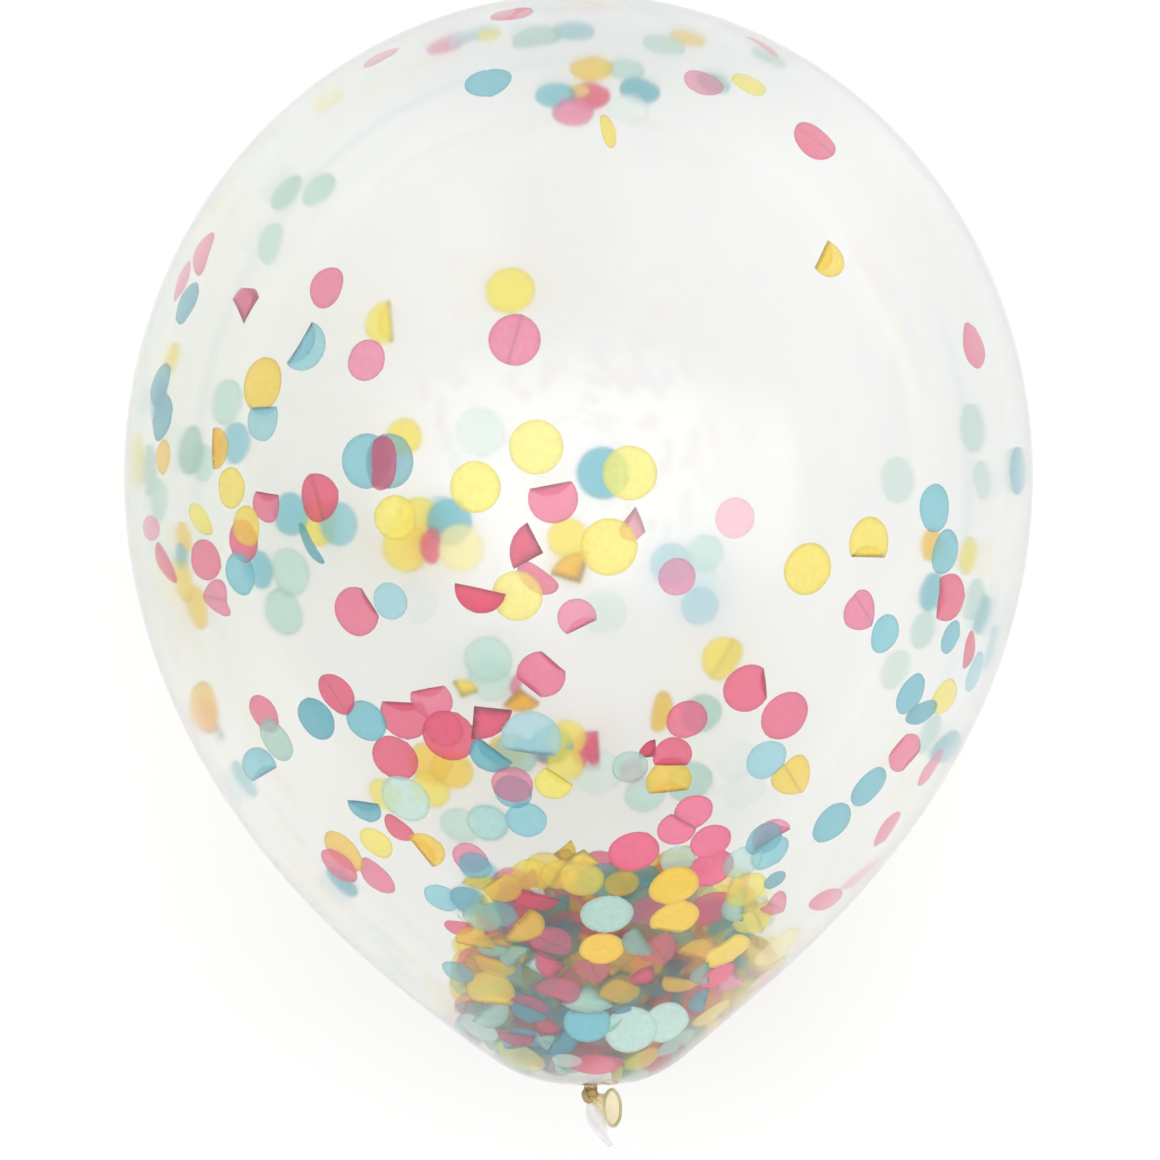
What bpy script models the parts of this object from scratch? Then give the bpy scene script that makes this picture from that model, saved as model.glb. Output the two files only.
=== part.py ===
"""A clear party balloon, blown up, knotted at the neck and lying on its side.

The balloon is one piece of latex: the blown body, the tight neck, the knot, and past the knot
the loose end of the neck, which fans out to the rolled lip of the mouth and trails a thin tag.
It is sealed, so it is modelled as a solid.

Frame: +Z up, the balloon rests on Z = 0. Its long axis runs along Y, with the crown towards +Y
and the knot towards -Y. The origin is the middle of the small flat spot that it rests on.
"""

import math

import bmesh
import bpy
from mathutils import Matrix, Vector

# Driving dimensions of the blown body, in metres.
BODY_DIAMETER = 0.300
CROWN_LENGTH = 0.1591
SHOULDER_LENGTH = 0.2013
REST_SPOT_DEPTH = 0.0015

# The shoulder's outline: how full it is below the widest ring, and how late it rounds to the neck.
SHOULDER_POWER = 0.76
NECK_ROUNDING = 17.0
ELLIPSE_POWER = 0.5

# The neck and its knot. The body gathers to the neck a little off its own axis.
NECK_DIAMETER = 0.0044
NECK_OFFSET = 0.0040
NECK_BEND = 8
KNOT_BULGE = 0.0006
KNOT_LENGTH = 0.0050
KNOT_STRAND = 0.0019
KNOT_DROP = 0.0012
STRAND_LEANS = {"upper": (math.radians(120), math.radians(20)), "lower": (math.radians(55), math.radians(-15))}

# The loose end past the knot: a funnel of latex with a rolled lip.
MOUTH_DIAMETER = 0.0131
MOUTH_REACH = 0.0083
LIP_THICKNESS = 0.0011
FUNNEL_WALL = 0.0006
MOUTH_HEADING = math.radians(61)
MOUTH_FACING = math.radians(95)
MOUTH_LIFT = math.radians(27)

# The thin tag that trails from the knot: narrow, then broad, then narrow again at its tip.
TAG_LENGTH = 0.0179
TAG_ROOT_WIDTH = 0.0025
TAG_WIDTH = 0.0060
TAG_TIP_WIDTH = 0.0019
TAG_THICKNESS = 0.0006
TAG_BOW = 0.0013
TAG_CUP = 0.0010
TAG_HEADING = math.radians(22)
TAG_BROAD_AT = 0.42

# How finely the round shapes are faceted.
BODY_STEPS = 64
CROWN_RINGS = 16
SHOULDER_RINGS = 22
KNOT_STEPS = 20
MOUTH_STEPS = 36
FUNNEL_RINGS = 6
TAG_STEPS = 12

BODY_RADIUS = BODY_DIAMETER / 2
NECK_RADIUS = NECK_DIAMETER / 2
KNOT_RADIUS = NECK_RADIUS + KNOT_BULGE
LIP_RADIUS = (MOUTH_DIAMETER - LIP_THICKNESS) / 2
FUNNEL_ROOT_RADIUS = NECK_RADIUS - FUNNEL_WALL
AXIS_HEIGHT = BODY_RADIUS - REST_SPOT_DEPTH
MERGE_DISTANCE = 0.00002
UP = Vector((0.0, 0.0, 1.0))

LATEX_COLOUR = (0.90, 0.93, 0.90, 1.0)
LATEX_ROUGHNESS = 0.25
LATEX_ALPHA = 0.35


def clear_scene():
    """Removes the objects that a new file starts with."""
    for obj in list(bpy.data.objects):
        bpy.data.objects.remove(obj, do_unlink=True)


def new_collection(name):
    """A collection of that name, linked to the scene."""
    collection = bpy.data.collections.new(name)
    bpy.context.scene.collection.children.link(collection)
    return collection


def add_object(name, mesh, collection):
    """A mesh object of that name in that collection."""
    obj = bpy.data.objects.new(name, mesh)
    collection.objects.link(obj)
    return obj


def latex():
    """The clear latex that the whole balloon is made of."""
    material = bpy.data.materials.new("clear_latex")
    material.use_nodes = True
    shader = material.node_tree.nodes["Principled BSDF"]
    shader.inputs["Base Color"].default_value = LATEX_COLOUR
    shader.inputs["Roughness"].default_value = LATEX_ROUGHNESS
    shader.inputs["Metallic"].default_value = 0.0
    shader.inputs["Alpha"].default_value = LATEX_ALPHA
    return material


def body_profile():
    """The outline of the body and neck as (radius, height) points, from the crown down.

    Above the widest ring it is a quarter ellipse. Below, the same formula with a higher power
    makes the slimmer shoulder, and that power falls to the ellipse's own towards the neck, so
    that the body ends round. The neck runs on into the knot.
    """
    points = []
    for i in range(CROWN_RINGS):
        turn = math.pi / 2 * i / CROWN_RINGS
        points.append((BODY_RADIUS * math.sin(turn), CROWN_LENGTH * math.cos(turn)))
    last_turn = math.acos(NECK_RADIUS / BODY_RADIUS)
    for i in range(SHOULDER_RINGS + 1):
        share = math.sin(last_turn * i / SHOULDER_RINGS)
        power = SHOULDER_POWER - (SHOULDER_POWER - ELLIPSE_POWER) * share**NECK_ROUNDING
        radius = BODY_RADIUS * (1 - share * share) ** power
        points.append((max(radius, NECK_RADIUS), -SHOULDER_LENGTH * share))
    neck_end = -SHOULDER_LENGTH - KNOT_DROP - KNOT_LENGTH / 2
    points.append((NECK_RADIUS, neck_end))
    points.append((0.0, neck_end))
    return points


def neck_shift(height):
    """How far the axis has moved sideways at this height along it: only near the neck."""
    share = max(0.0, -height / SHOULDER_LENGTH)
    return NECK_OFFSET * min(share, 1.0) ** NECK_BEND


def lying_down():
    """Turns the standing axis +Z to +Y, and lifts it to the height that the body rests at."""
    return Matrix.Translation((0, 0, AXIS_HEIGHT)) @ Matrix.Rotation(-math.pi / 2, 4, "X")


def turned_body():
    """The body as a mesh: its profile turned about the long axis, then eased over to the neck."""
    mesh = bpy.data.meshes.new("body_profile")
    points = body_profile()
    edges = [(i, i + 1) for i in range(len(points) - 1)]
    mesh.from_pydata([(radius, 0.0, height) for radius, height in points], edges, [])
    profile = bpy.data.objects.new("body_profile", mesh)
    bpy.context.scene.collection.objects.link(profile)
    screw = profile.modifiers.new("turn", "SCREW")
    screw.axis = "Z"
    screw.steps = screw.render_steps = BODY_STEPS
    screw.use_merge_vertices = True
    screw.merge_threshold = MERGE_DISTANCE
    graph = bpy.context.evaluated_depsgraph_get()
    body = bpy.data.meshes.new_from_object(profile.evaluated_get(graph))
    bpy.data.objects.remove(profile)
    for vertex in body.vertices:
        vertex.co.x += neck_shift(vertex.co.z)
    body.transform(lying_down())
    return body


def heading(angle):
    """A level direction, turned by this angle from straight away from the body towards +X."""
    return Vector((math.sin(angle), -math.cos(angle), 0.0))


def knot_centre():
    """The middle of the knot."""
    return Vector((NECK_OFFSET, -SHOULDER_LENGTH - KNOT_DROP - KNOT_LENGTH / 2, AXIS_HEIGHT))


def mouth_centre():
    """The middle of the rolled lip."""
    return knot_centre() + heading(MOUTH_HEADING) * MOUTH_REACH


def mouth_normal():
    """The way the mouth faces: sideways, and a little up."""
    return heading(MOUTH_FACING) * math.cos(MOUTH_LIFT) + UP * math.sin(MOUTH_LIFT)


def frame_along(normal):
    """Two directions square to this normal and to each other."""
    across = normal.cross(UP).normalized()
    return across, normal.cross(across).normalized()


def primitive(name, collection, size=(1, 1, 1), rotation=None, location=(0, 0, 0)):
    """The object that an operator has just made, named, sized, turned and placed by its mesh."""
    obj = bpy.context.object
    obj.name = name
    turn = rotation.to_4x4() if rotation else Matrix.Identity(4)
    place = Matrix.Translation(location)
    obj.data.transform(place @ turn @ Matrix.Diagonal((*size, 1)))
    obj.matrix_world = Matrix.Identity(4)
    for home in list(obj.users_collection):
        home.objects.unlink(obj)
    collection.objects.link(obj)
    return obj


def rows_to_mesh(name, rows, closed):
    """A mesh of the four-sided faces between rows of points, each row closed into a ring or open."""
    shape = bmesh.new()
    grid = [[shape.verts.new(point) for point in row] for row in rows]
    count = len(rows[0])
    for first, second in zip(grid, grid[1:]):
        for k in range(count if closed else count - 1):
            after = (k + 1) % count
            shape.faces.new((first[k], second[k], second[after], first[after]))
    bmesh.ops.recalc_face_normals(shape, faces=shape.faces)
    mesh = bpy.data.meshes.new(name)
    shape.to_mesh(mesh)
    shape.free()
    return mesh


def add_wall(obj, thickness):
    """Gives an open surface this thickness, half to each side."""
    wall = obj.modifiers.new("wall", "SOLIDIFY")
    wall.thickness = thickness
    wall.offset = 0.0


def knot_pieces(collection):
    """The knot: a rounded core with two strands of the neck wound round it, one over the other."""
    core_width = 2 * KNOT_RADIUS - KNOT_STRAND / 2
    bpy.ops.mesh.primitive_uv_sphere_add(segments=KNOT_STEPS, ring_count=KNOT_STEPS // 2, radius=1)
    core_size = (core_width / 2, KNOT_LENGTH / 2, core_width / 2)
    pieces = [primitive("knot_core", collection, size=core_size, location=knot_centre())]
    for name, (lean, turn) in STRAND_LEANS.items():
        bpy.ops.mesh.primitive_torus_add(
            major_segments=KNOT_STEPS,
            minor_segments=KNOT_STEPS // 2,
            major_radius=KNOT_RADIUS - KNOT_STRAND / 2,
            minor_radius=KNOT_STRAND / 2,
        )
        tilt = Matrix.Rotation(lean, 3, "X") @ Matrix.Rotation(turn, 3, "Y")
        pieces.append(primitive(f"knot_strand_{name}", collection, rotation=tilt, location=knot_centre()))
    return pieces


def funnel(collection):
    """The loose end of the neck: a loft from the knot to the lip, with a wall of latex."""
    start, end = knot_centre(), mouth_centre()
    small_x, small_y = frame_along((end - start).normalized())
    wide_x, wide_y = frame_along(mouth_normal())
    rows = []
    for i in range(FUNNEL_RINGS + 1):
        share = i / FUNNEL_RINGS
        radius = FUNNEL_ROOT_RADIUS + (LIP_RADIUS - FUNNEL_ROOT_RADIUS) * share * share
        axis_x = small_x.lerp(wide_x, share).normalized() * radius
        axis_y = small_y.lerp(wide_y, share).normalized() * radius
        centre = start.lerp(end, share)
        turns = [2 * math.pi * k / MOUTH_STEPS for k in range(MOUTH_STEPS)]
        rows.append([centre + axis_x * math.cos(turn) + axis_y * math.sin(turn) for turn in turns])
    obj = add_object("funnel", rows_to_mesh("funnel", rows, closed=True), collection)
    add_wall(obj, FUNNEL_WALL)
    return obj


def rolled_lip(collection):
    """The rolled edge of the mouth."""
    bpy.ops.mesh.primitive_torus_add(
        major_segments=MOUTH_STEPS,
        minor_segments=KNOT_STEPS // 2,
        major_radius=LIP_RADIUS,
        minor_radius=LIP_THICKNESS / 2,
    )
    facing = UP.rotation_difference(mouth_normal()).to_matrix()
    return primitive("rolled_lip", collection, rotation=facing, location=mouth_centre())


def tag_width(share):
    """The tag's width at this share of its length: a taper, with a smooth swell where it is broad."""
    taper = TAG_ROOT_WIDTH + (TAG_TIP_WIDTH - TAG_ROOT_WIDTH) * share
    taper_at_broad = TAG_ROOT_WIDTH + (TAG_TIP_WIDTH - TAG_ROOT_WIDTH) * TAG_BROAD_AT
    skew = -math.log(2) / math.log(TAG_BROAD_AT)
    return taper + (TAG_WIDTH - taper_at_broad) * math.sin(math.pi * share**skew) ** 2


def tag(collection):
    """The thin tag: a flat strip that bows sideways and cups a little as it leaves the knot."""
    along = heading(TAG_HEADING)
    side = along.cross(UP)
    rows = []
    for i in range(TAG_STEPS + 1):
        share = i / TAG_STEPS
        swell = math.sin(math.pi * share)
        centre = knot_centre() + along * TAG_LENGTH * share + side * TAG_BOW * swell
        edge = side * tag_width(share) / 2
        lift = UP * TAG_CUP * swell
        rows.append([centre + edge + lift, centre, centre - edge - lift])
    obj = add_object("tag", rows_to_mesh("tag", rows, closed=False), collection)
    add_wall(obj, TAG_THICKNESS)
    return obj


def as_helper(obj):
    """Keeps a cutter or a piece that is joined to another out of the render."""
    obj.hide_render = True
    obj.display_type = "WIRE"


def join(obj, piece):
    """Joins a piece to the balloon, as the same latex."""
    union = obj.modifiers.new(f"join_{piece.name}", "BOOLEAN")
    union.operation = "UNION"
    union.solver = "EXACT"
    union.object = piece
    as_helper(piece)


def cut_rest_spot(obj, collection):
    """Presses the underside flat where the balloon rests, with a block whose top is the floor."""
    bpy.ops.mesh.primitive_cube_add(size=1)
    size = (BODY_DIAMETER, BODY_DIAMETER, BODY_RADIUS)
    block = primitive("rest_block", collection, size=size, location=(0, 0, -BODY_RADIUS / 2))
    cut = obj.modifiers.new("rest_spot", "BOOLEAN")
    cut.operation = "DIFFERENCE"
    cut.solver = "EXACT"
    cut.object = block
    as_helper(block)


def build():
    """Makes the balloon, with its helpers in a collection of their own."""
    clear_scene()
    parts = new_collection("confetti_balloon")
    helpers = new_collection("balloon_helpers")
    balloon = add_object("balloon", turned_body(), parts)
    balloon.data.materials.append(latex())
    balloon.data.shade_smooth()
    cut_rest_spot(balloon, helpers)
    for piece in (*knot_pieces(helpers), funnel(helpers), rolled_lip(helpers), tag(helpers)):
        join(balloon, piece)


build()
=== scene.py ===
"""A clear party balloon with tissue confetti inside, lying on its side on a pale studio floor.

The solid balloon of the frame is replaced by what it stands for: a thin skin of clear latex, the
tied neck with its knot, mouth and tag, and the dots of tissue paper that are sealed inside.
The frame has +Z up and the balloon's long axis along Y, with the crown towards +Y.
"""

import logging
import math
from dataclasses import astuple, dataclass, field
from enum import Enum

import bpy
import numpy as np
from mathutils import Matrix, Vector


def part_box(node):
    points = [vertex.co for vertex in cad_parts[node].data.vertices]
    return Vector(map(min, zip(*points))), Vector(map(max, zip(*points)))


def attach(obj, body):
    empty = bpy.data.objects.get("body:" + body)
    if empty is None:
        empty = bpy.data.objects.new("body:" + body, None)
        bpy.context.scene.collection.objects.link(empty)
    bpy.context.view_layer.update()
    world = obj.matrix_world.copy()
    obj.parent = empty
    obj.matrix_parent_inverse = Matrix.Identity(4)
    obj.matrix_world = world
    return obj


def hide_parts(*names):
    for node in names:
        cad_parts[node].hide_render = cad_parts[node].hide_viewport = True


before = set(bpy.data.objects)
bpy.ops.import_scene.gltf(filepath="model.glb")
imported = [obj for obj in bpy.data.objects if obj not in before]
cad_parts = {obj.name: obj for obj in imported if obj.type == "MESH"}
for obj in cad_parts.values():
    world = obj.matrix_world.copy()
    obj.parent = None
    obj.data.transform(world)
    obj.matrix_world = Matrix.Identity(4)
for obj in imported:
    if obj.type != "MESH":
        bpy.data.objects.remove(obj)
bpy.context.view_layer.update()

LOG = logging.getLogger("confetti_balloon")
NODE = "balloon"
BODY = "root"
SEED = 11
GOLDEN = 0.618034  # a step of this share of a turn deals values out evenly
LEAST = 1e-9  # metres, so that nothing is divided by zero

Array = np.ndarray
Colour = tuple[float, float, float]
Socket = bpy.types.NodeSocket
Value = float | Colour | Socket

UP = np.array([0.0, 0.0, 1.0])
WHITE: Colour = (1.0, 1.0, 1.0)


class Hue(Enum):
    """The colours of the tissue paper, by the names of their materials."""

    PINK = "confetti_pink"
    YELLOW = "confetti_yellow"
    BLUE = "confetti_blue"
    MINT = "confetti_mint"


class Wall(Enum):
    """The side of the skin that a dot clings to, and the sign of its height above the axis."""

    UPPER = 1.0
    LOWER = -1.0


@dataclass(frozen=True)
class Bend:
    """How a dot of tissue is bent. Angles are in degrees, and places are shares of its radius.

    fold turns the sheet about a line across it at fold_at, and cross_fold about the line through
    its middle. curl is spread evenly over it. slant is the angle that its plane makes with the
    picture's, about its own long side, and 0 leaves it flat against the wall. spin turns it in
    its own plane, so that a corner leads. gate is 1 where the other side is folded in as well.
    """

    fold: float = 0.0
    fold_at: float = 0.0
    curl: float = 4.0
    cross_fold: float = 0.0
    slant: float = 0.0
    spin: float = 0.0
    gate: float = 0.0


class Form(Enum):
    """The ways in which the dots lie."""

    ROUND = Bend()
    CREASED = Bend(fold=36.0, fold_at=0.1, curl=6.0)
    RIDGED = Bend(curl=6.0, cross_fold=18.0)
    FLAP = Bend(fold=168.0, fold_at=0.5, curl=5.0)
    NICK = Bend(fold=165.0, fold_at=0.70, curl=8.0)
    GATE = Bend(fold=168.0, fold_at=0.70, curl=4.0, gate=1.0)
    DEE = Bend(fold=171.0, fold_at=0.2, curl=5.0)
    HALF = Bend(fold=173.0, fold_at=0.08, curl=5.0)
    QUARTER = Bend(fold=172.0, fold_at=0.0, curl=4.0, cross_fold=171.0, spin=45.0)
    PETAL = Bend(fold=172.0, fold_at=0.0, curl=4.0, cross_fold=171.0, slant=60.0, spin=45.0)
    EDGE = Bend(curl=14.0, slant=60.0)


FOLD, FOLD_AT, CURL, CROSS_FOLD, SLANT = range(5)  # a bend's first places in a row of numbers


@dataclass(frozen=True)
class Dot:
    """One dot of tissue that shows in the photograph.

    x and y are its middle, in pixels of the photograph. tone runs from 0 for the deepest dye to
    1 for white, and size is a share of a full dot's. turn is the way that its folded edge faces,
    or that its long side runs, in degrees clockwise from the picture's top. layer is how deep it
    lies: 0 is against the wall, 1 is the innermost of those that cling there, and more lies
    behind them. body is how solid it looks, and facing is the angle in degrees between its plane
    and the picture's. Where they are None, the layer is dealt out in turn, the body is its
    group's, and the dot lies as its form says.
    """

    hue: Hue
    x: float
    y: float
    tone: float
    size: float
    wall: Wall
    form: Form
    turn: float
    layer: float | None = None
    body: float | None = None
    facing: float | None = None


def near(
    hue: Hue, x: float, y: float, tone: float, size: float = 1.0,
    form: Form = Form.ROUND, turn: float = 0.0, **looks: float,
) -> Dot:
    """A dot on the upper wall, towards the camera, with its layer, body or facing by name."""
    return Dot(hue, x, y, tone, size, Wall.UPPER, form, turn, **looks)


def far(
    hue: Hue, x: float, y: float, tone: float, size: float = 1.0,
    form: Form = Form.ROUND, turn: float = 0.0, **looks: float,
) -> Dot:
    """A dot on the lower wall, seen through the whole balloon, with its body or layer by name."""
    return Dot(hue, x, y, tone, size, Wall.LOWER, form, turn, **looks)


PINK, YELLOW, BLUE, MINT = Hue.PINK, Hue.YELLOW, Hue.BLUE, Hue.MINT
CREASED, RIDGED, EDGE, NICK, GATE = Form.CREASED, Form.RIDGED, Form.EDGE, Form.NICK, Form.GATE
FLAP, DEE, HALF, QUARTER, PETAL = Form.FLAP, Form.DEE, Form.HALF, Form.QUARTER, Form.PETAL

# Each dot is its colour, x, y, tone, size, form and turn.

CROWN_DOTS = (
    near(PINK, 512, 14, 0.1, 0.86), near(PINK, 381, 57, 0.3, 0.8), far(PINK, 446, 44, 0.3, 0.9),
    far(BLUE, 463, 38, 0.6, 0.7), far(YELLOW, 488, 34, 0.25, 0.6), far(MINT, 482, 30, 0.3, 0.6),
    far(MINT, 536, 36, 0.15, 1.05), far(BLUE, 573, 30, 0.45, 0.9), near(BLUE, 488, 81, 0.2, 0.94),
    far(YELLOW, 328, 99, 0.6, 0.8), far(MINT, 664, 44, 0.3, 0.9), far(YELLOW, 688, 37, 0.12, 0.78),
    near(PINK, 764, 45, 0.0, 0.76, EDGE, -58, body=0.4, facing=76), far(MINT, 770, 56, 0.0, 0.8),
    far(YELLOW, 592, 68, 0.1, 0.95), far(MINT, 626, 69, 0.25, 0.8), far(BLUE, 555, 94, 0.3, 0.82),
    far(BLUE, 640, 90, 0.15, 0.86), far(PINK, 590, 95, 0.0, 0.85), far(PINK, 573, 111, 0.3, 0.86),
    far(YELLOW, 578, 90, 0.5, 0.5), far(MINT, 628, 108, 0.75, 0.9),
    near(YELLOW, 609, 131, 0.2, 0.66, EDGE, 165, facing=66), near(PINK, 704, 82, 0.4, 0.8, body=0.4),
    far(MINT, 714, 82, 0.05, 0.75), near(YELLOW, 749, 84, 0.3, 0.72),
    near(PINK, 816, 139, 0.1, 0.92, RIDGED, 130), near(YELLOW, 832, 262, 0.15, 0.84, DEE, -60),
    near(PINK, 974, 345, 0.15, 0.94), far(MINT, 286, 192, 0.15, 0.9), far(MINT, 318, 189, 0.2, 0.86),
    far(MINT, 269, 243, 0.4, 0.9, EDGE, 20), far(YELLOW, 222, 198, 0.7, 0.8),
    far(YELLOW, 200, 226, 0.8, 0.8), far(MINT, 152, 330, 0.6, 1.2),
)

LEFT_DOTS = (
    near(PINK, 202, 253, 0.2, 0.9, EDGE, 19, facing=69), near(PINK, 182, 281, 0.2, 0.88),
    near(BLUE, 187, 303, 0.05, 0.88), near(PINK, 243, 306, 0.3, 1.4, PETAL, 178),
    near(PINK, 326, 287, 0.2, 0.84, EDGE, 24, facing=42), far(YELLOW, 378, 324, 0.35, 1.0, DEE, 90),
    near(PINK, 366, 360, 0.28, 0.8), near(BLUE, 309, 350, 0.46, 1.0, DEE, -62),
    near(YELLOW, 262, 384, 0.12, 1.06), near(BLUE, 262, 424, 0.48, 0.84, FLAP, 0),
    far(MINT, 226, 402, 0.35), near(YELLOW, 220, 448, 0.0, 0.8, DEE, -88), far(BLUE, 235, 443, 0.4, 0.9),
    far(YELLOW, 171, 358, 0.2, 0.72), near(BLUE, 160, 385, 0.0, 0.9, facing=64),
    near(BLUE, 161, 417, 0.0, 0.98, facing=65), far(BLUE, 157, 400, 0.1, 0.9),
    near(YELLOW, 163, 457, 0.0, 0.72), far(YELLOW, 137, 460, 0.25, 1.1, body=0.4),
    far(MINT, 148, 470, 0.0, 1.1), far(MINT, 157, 500, 0.2, 0.9), far(MINT, 190, 450, 0.0, 1.05),
    far(MINT, 203, 463, 0.4, 0.8), near(PINK, 151, 528, 0.3, 0.5, facing=48),
    near(PINK, 164, 564, 0.0, 0.9, EDGE, 143, facing=74), near(PINK, 205, 560, 0.12, 0.82, facing=42),
    near(YELLOW, 231, 488, 0.18, 0.82), near(YELLOW, 200, 520, 0.3, 0.7, EDGE, 150),
    far(YELLOW, 183, 538, 0.1, 0.7), far(BLUE, 181, 556, 0.2, 0.6), near(PINK, 243, 541, 0.08, 0.84),
    near(YELLOW, 246, 526, 0.15, 0.8), near(PINK, 266, 508, 0.15, 0.76, FLAP, 10),
    far(BLUE, 290, 514, 0.35, 0.95), near(BLUE, 309, 545, 0.1, 0.9, EDGE, 152, facing=77),
    near(PINK, 315, 498, 0.02, 0.94, CREASED, 75), far(YELLOW, 318, 524, 0.2),
    far(BLUE, 338, 524, 0.45, 0.95), near(BLUE, 240, 574, 0.25, 0.84), far(BLUE, 258, 570, 0.35, 0.85),
    far(MINT, 289, 572, 0.3, 1.05), far(MINT, 283, 612, 0.25, 1.05), far(YELLOW, 182, 580, 0.15, 0.95),
    far(YELLOW, 196, 608, 0.1, 0.95), near(PINK, 215, 600, 0.2, 0.82, CREASED, 10),
    far(YELLOW, 202, 708, 0.05, 1.1, EDGE, 162), far(PINK, 205, 716, 0.4, 0.8, EDGE, 160),
    far(MINT, 220, 734, 0.0, 0.5, QUARTER, 70),
)

MIDDLE_DOTS = (
    far(YELLOW, 510, 290, 0.3, 1.08), near(PINK, 514, 339, 0.22, 1.02, RIDGED, 10),
    far(YELLOW, 404, 437, 0.25, 0.82), near(PINK, 381, 463, 0.1, 1.06, layer=0.0, body=0.5, facing=54),
    near(BLUE, 366, 461, 0.36, 1.07, layer=2.6), near(BLUE, 389, 461, 0.42, 1.05, layer=3.2),
    far(MINT, 481, 432, 0.72), near(YELLOW, 536, 447, 0.42, 1.03), near(YELLOW, 475, 487, 0.3, 0.98),
    far(BLUE, 603, 473, 0.3, 1.12), near(YELLOW, 630, 473, 0.38, 1.05),
    near(PINK, 554, 504, 0.15, 0.98, FLAP, -8), near(PINK, 527, 548, 0.12, 1.3, QUARTER, 105),
    near(PINK, 536, 580, 0.15, 0.9, EDGE, 130), near(PINK, 636, 524, 0.6, 1.3, PETAL, 4),
    near(YELLOW, 609, 547, 0.22, 1.06), far(YELLOW, 568, 538, 0.3, 0.9),
    far(YELLOW, 573, 570, 0.1, 1.3, QUARTER, 155), near(YELLOW, 395, 518, 0.35, 0.85),
    far(YELLOW, 405, 548, 0.25, 1.05), far(YELLOW, 419, 520, 0.25), far(YELLOW, 460, 548, 0.6),
    far(BLUE, 449, 522, 0.22, 1.02), far(MINT, 440, 515, 0.5, 0.85),
    far(PINK, 430, 546, 0.1, 0.8, EDGE, 0), near(PINK, 735, 518, 0.58, 0.8),
    near(PINK, 478, 601, 0.02, 0.99, HALF, 14, layer=0.0), near(YELLOW, 517, 596, 0.42, 0.98, layer=1.4),
    near(PINK, 575, 614, 0.28, 0.74, FLAP, 150), near(PINK, 354, 613, 0.14, 0.96, NICK, 58),
    near(BLUE, 390, 601, 0.5, 0.74), near(YELLOW, 870, 537, 0.2, 0.99, FLAP, 180),
    near(YELLOW, 808, 569, 0.2, 1.04), far(BLUE, 671, 564, 0.62, 0.9),
    near(PINK, 677, 577, 0.36, 0.74, body=0.4), far(MINT, 706, 553, 0.5, 0.8),
    far(BLUE, 699, 580, 0.75, 0.8), far(BLUE, 700, 606, 0.6, 0.85), far(MINT, 488, 660, 0.42, 1.08),
    far(MINT, 490, 680, 0.5), near(PINK, 541, 675, 0.15, 0.95, GATE, 34),
    far(YELLOW, 464, 690, 0.35, 0.85, QUARTER, 200), far(YELLOW, 520, 700, 0.0, 1.15, QUARTER, 0),
    far(PINK, 517, 683, 0.2, 0.5, EDGE, 20), far(MINT, 416, 602, 0.86, body=0.1),
    far(MINT, 604, 612, 0.8, body=0.16), far(YELLOW, 725, 660, 0.2, 1.02, CREASED, -60),
    near(PINK, 745, 689, 0.08, 0.98, NICK, 84), near(PINK, 785, 716, 0.12, 1.04),
    near(BLUE, 767, 760, 0.48, 0.84), near(YELLOW, 795, 778, 0.12, 0.92, CREASED, -120),
    far(YELLOW, 663, 712, 0.05, 0.9, EDGE, 10), near(PINK, 687, 720, 0.12, 0.82),
    far(MINT, 702, 714, 0.1, 0.9), far(MINT, 738, 762, 0.84, body=0.12),
)

RIGHT_DOTS = (
    far(MINT, 973, 428, 0.45, 1.05), far(MINT, 983, 480, 0.5, 0.85), far(MINT, 898, 480, 0.6, 0.98),
    near(BLUE, 1018, 471, 0.1, 0.95, facing=67), far(MINT, 1013, 470, 0.2, 0.9),
    near(BLUE, 935, 508, 0.22, 0.95), near(BLUE, 946, 552, 0.2, 0.9), far(YELLOW, 932, 545, 0.05, 0.7),
    far(YELLOW, 969, 556, 0.35, 0.8), near(PINK, 952, 597, 0.05, 0.95, FLAP, -88, facing=42),
    far(BLUE, 932, 592, 0.25, 0.85), near(PINK, 863, 611, 0.2, 0.82, CREASED, 60),
    near(BLUE, 885, 634, 0.35, 0.78), far(MINT, 924, 630, 0.45, 0.85), near(BLUE, 951, 637, 0.15, 0.7),
    far(BLUE, 983, 615, 0.2, 0.85), far(MINT, 975, 600, 0.3, 0.9),
    near(PINK, 970, 650, 0.0, 0.78, EDGE, 16, facing=72), near(BLUE, 975, 672, 0.45, 0.84),
    far(BLUE, 992, 648, 0.3, 0.95), far(MINT, 896, 670, 0.6, 0.9), near(BLUE, 911, 694, 0.15, 0.9),
    near(YELLOW, 945, 697, 0.2, 0.76, EDGE, 32, facing=54),
    near(BLUE, 922, 713, 0.0, 0.7, EDGE, 60, layer=0.0, facing=60), far(MINT, 930, 735, 0.4, 0.9),
    near(PINK, 905, 753, 0.12, 0.84, GATE, 126, facing=48), near(BLUE, 869, 787, 0.15, 0.92),
    near(BLUE, 832, 823, 0.15, 0.92), near(PINK, 931, 768, 0.1, 0.84),
    far(BLUE, 947, 748, 0.1, 0.8, EDGE, 40), near(PINK, 887, 829, 0.12, 0.84),
    near(PINK, 826, 900, 0.15, 0.74, EDGE, 62, facing=58),
    near(PINK, 863, 876, 0.45, 1.05, EDGE, 45, facing=75),
)

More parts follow.
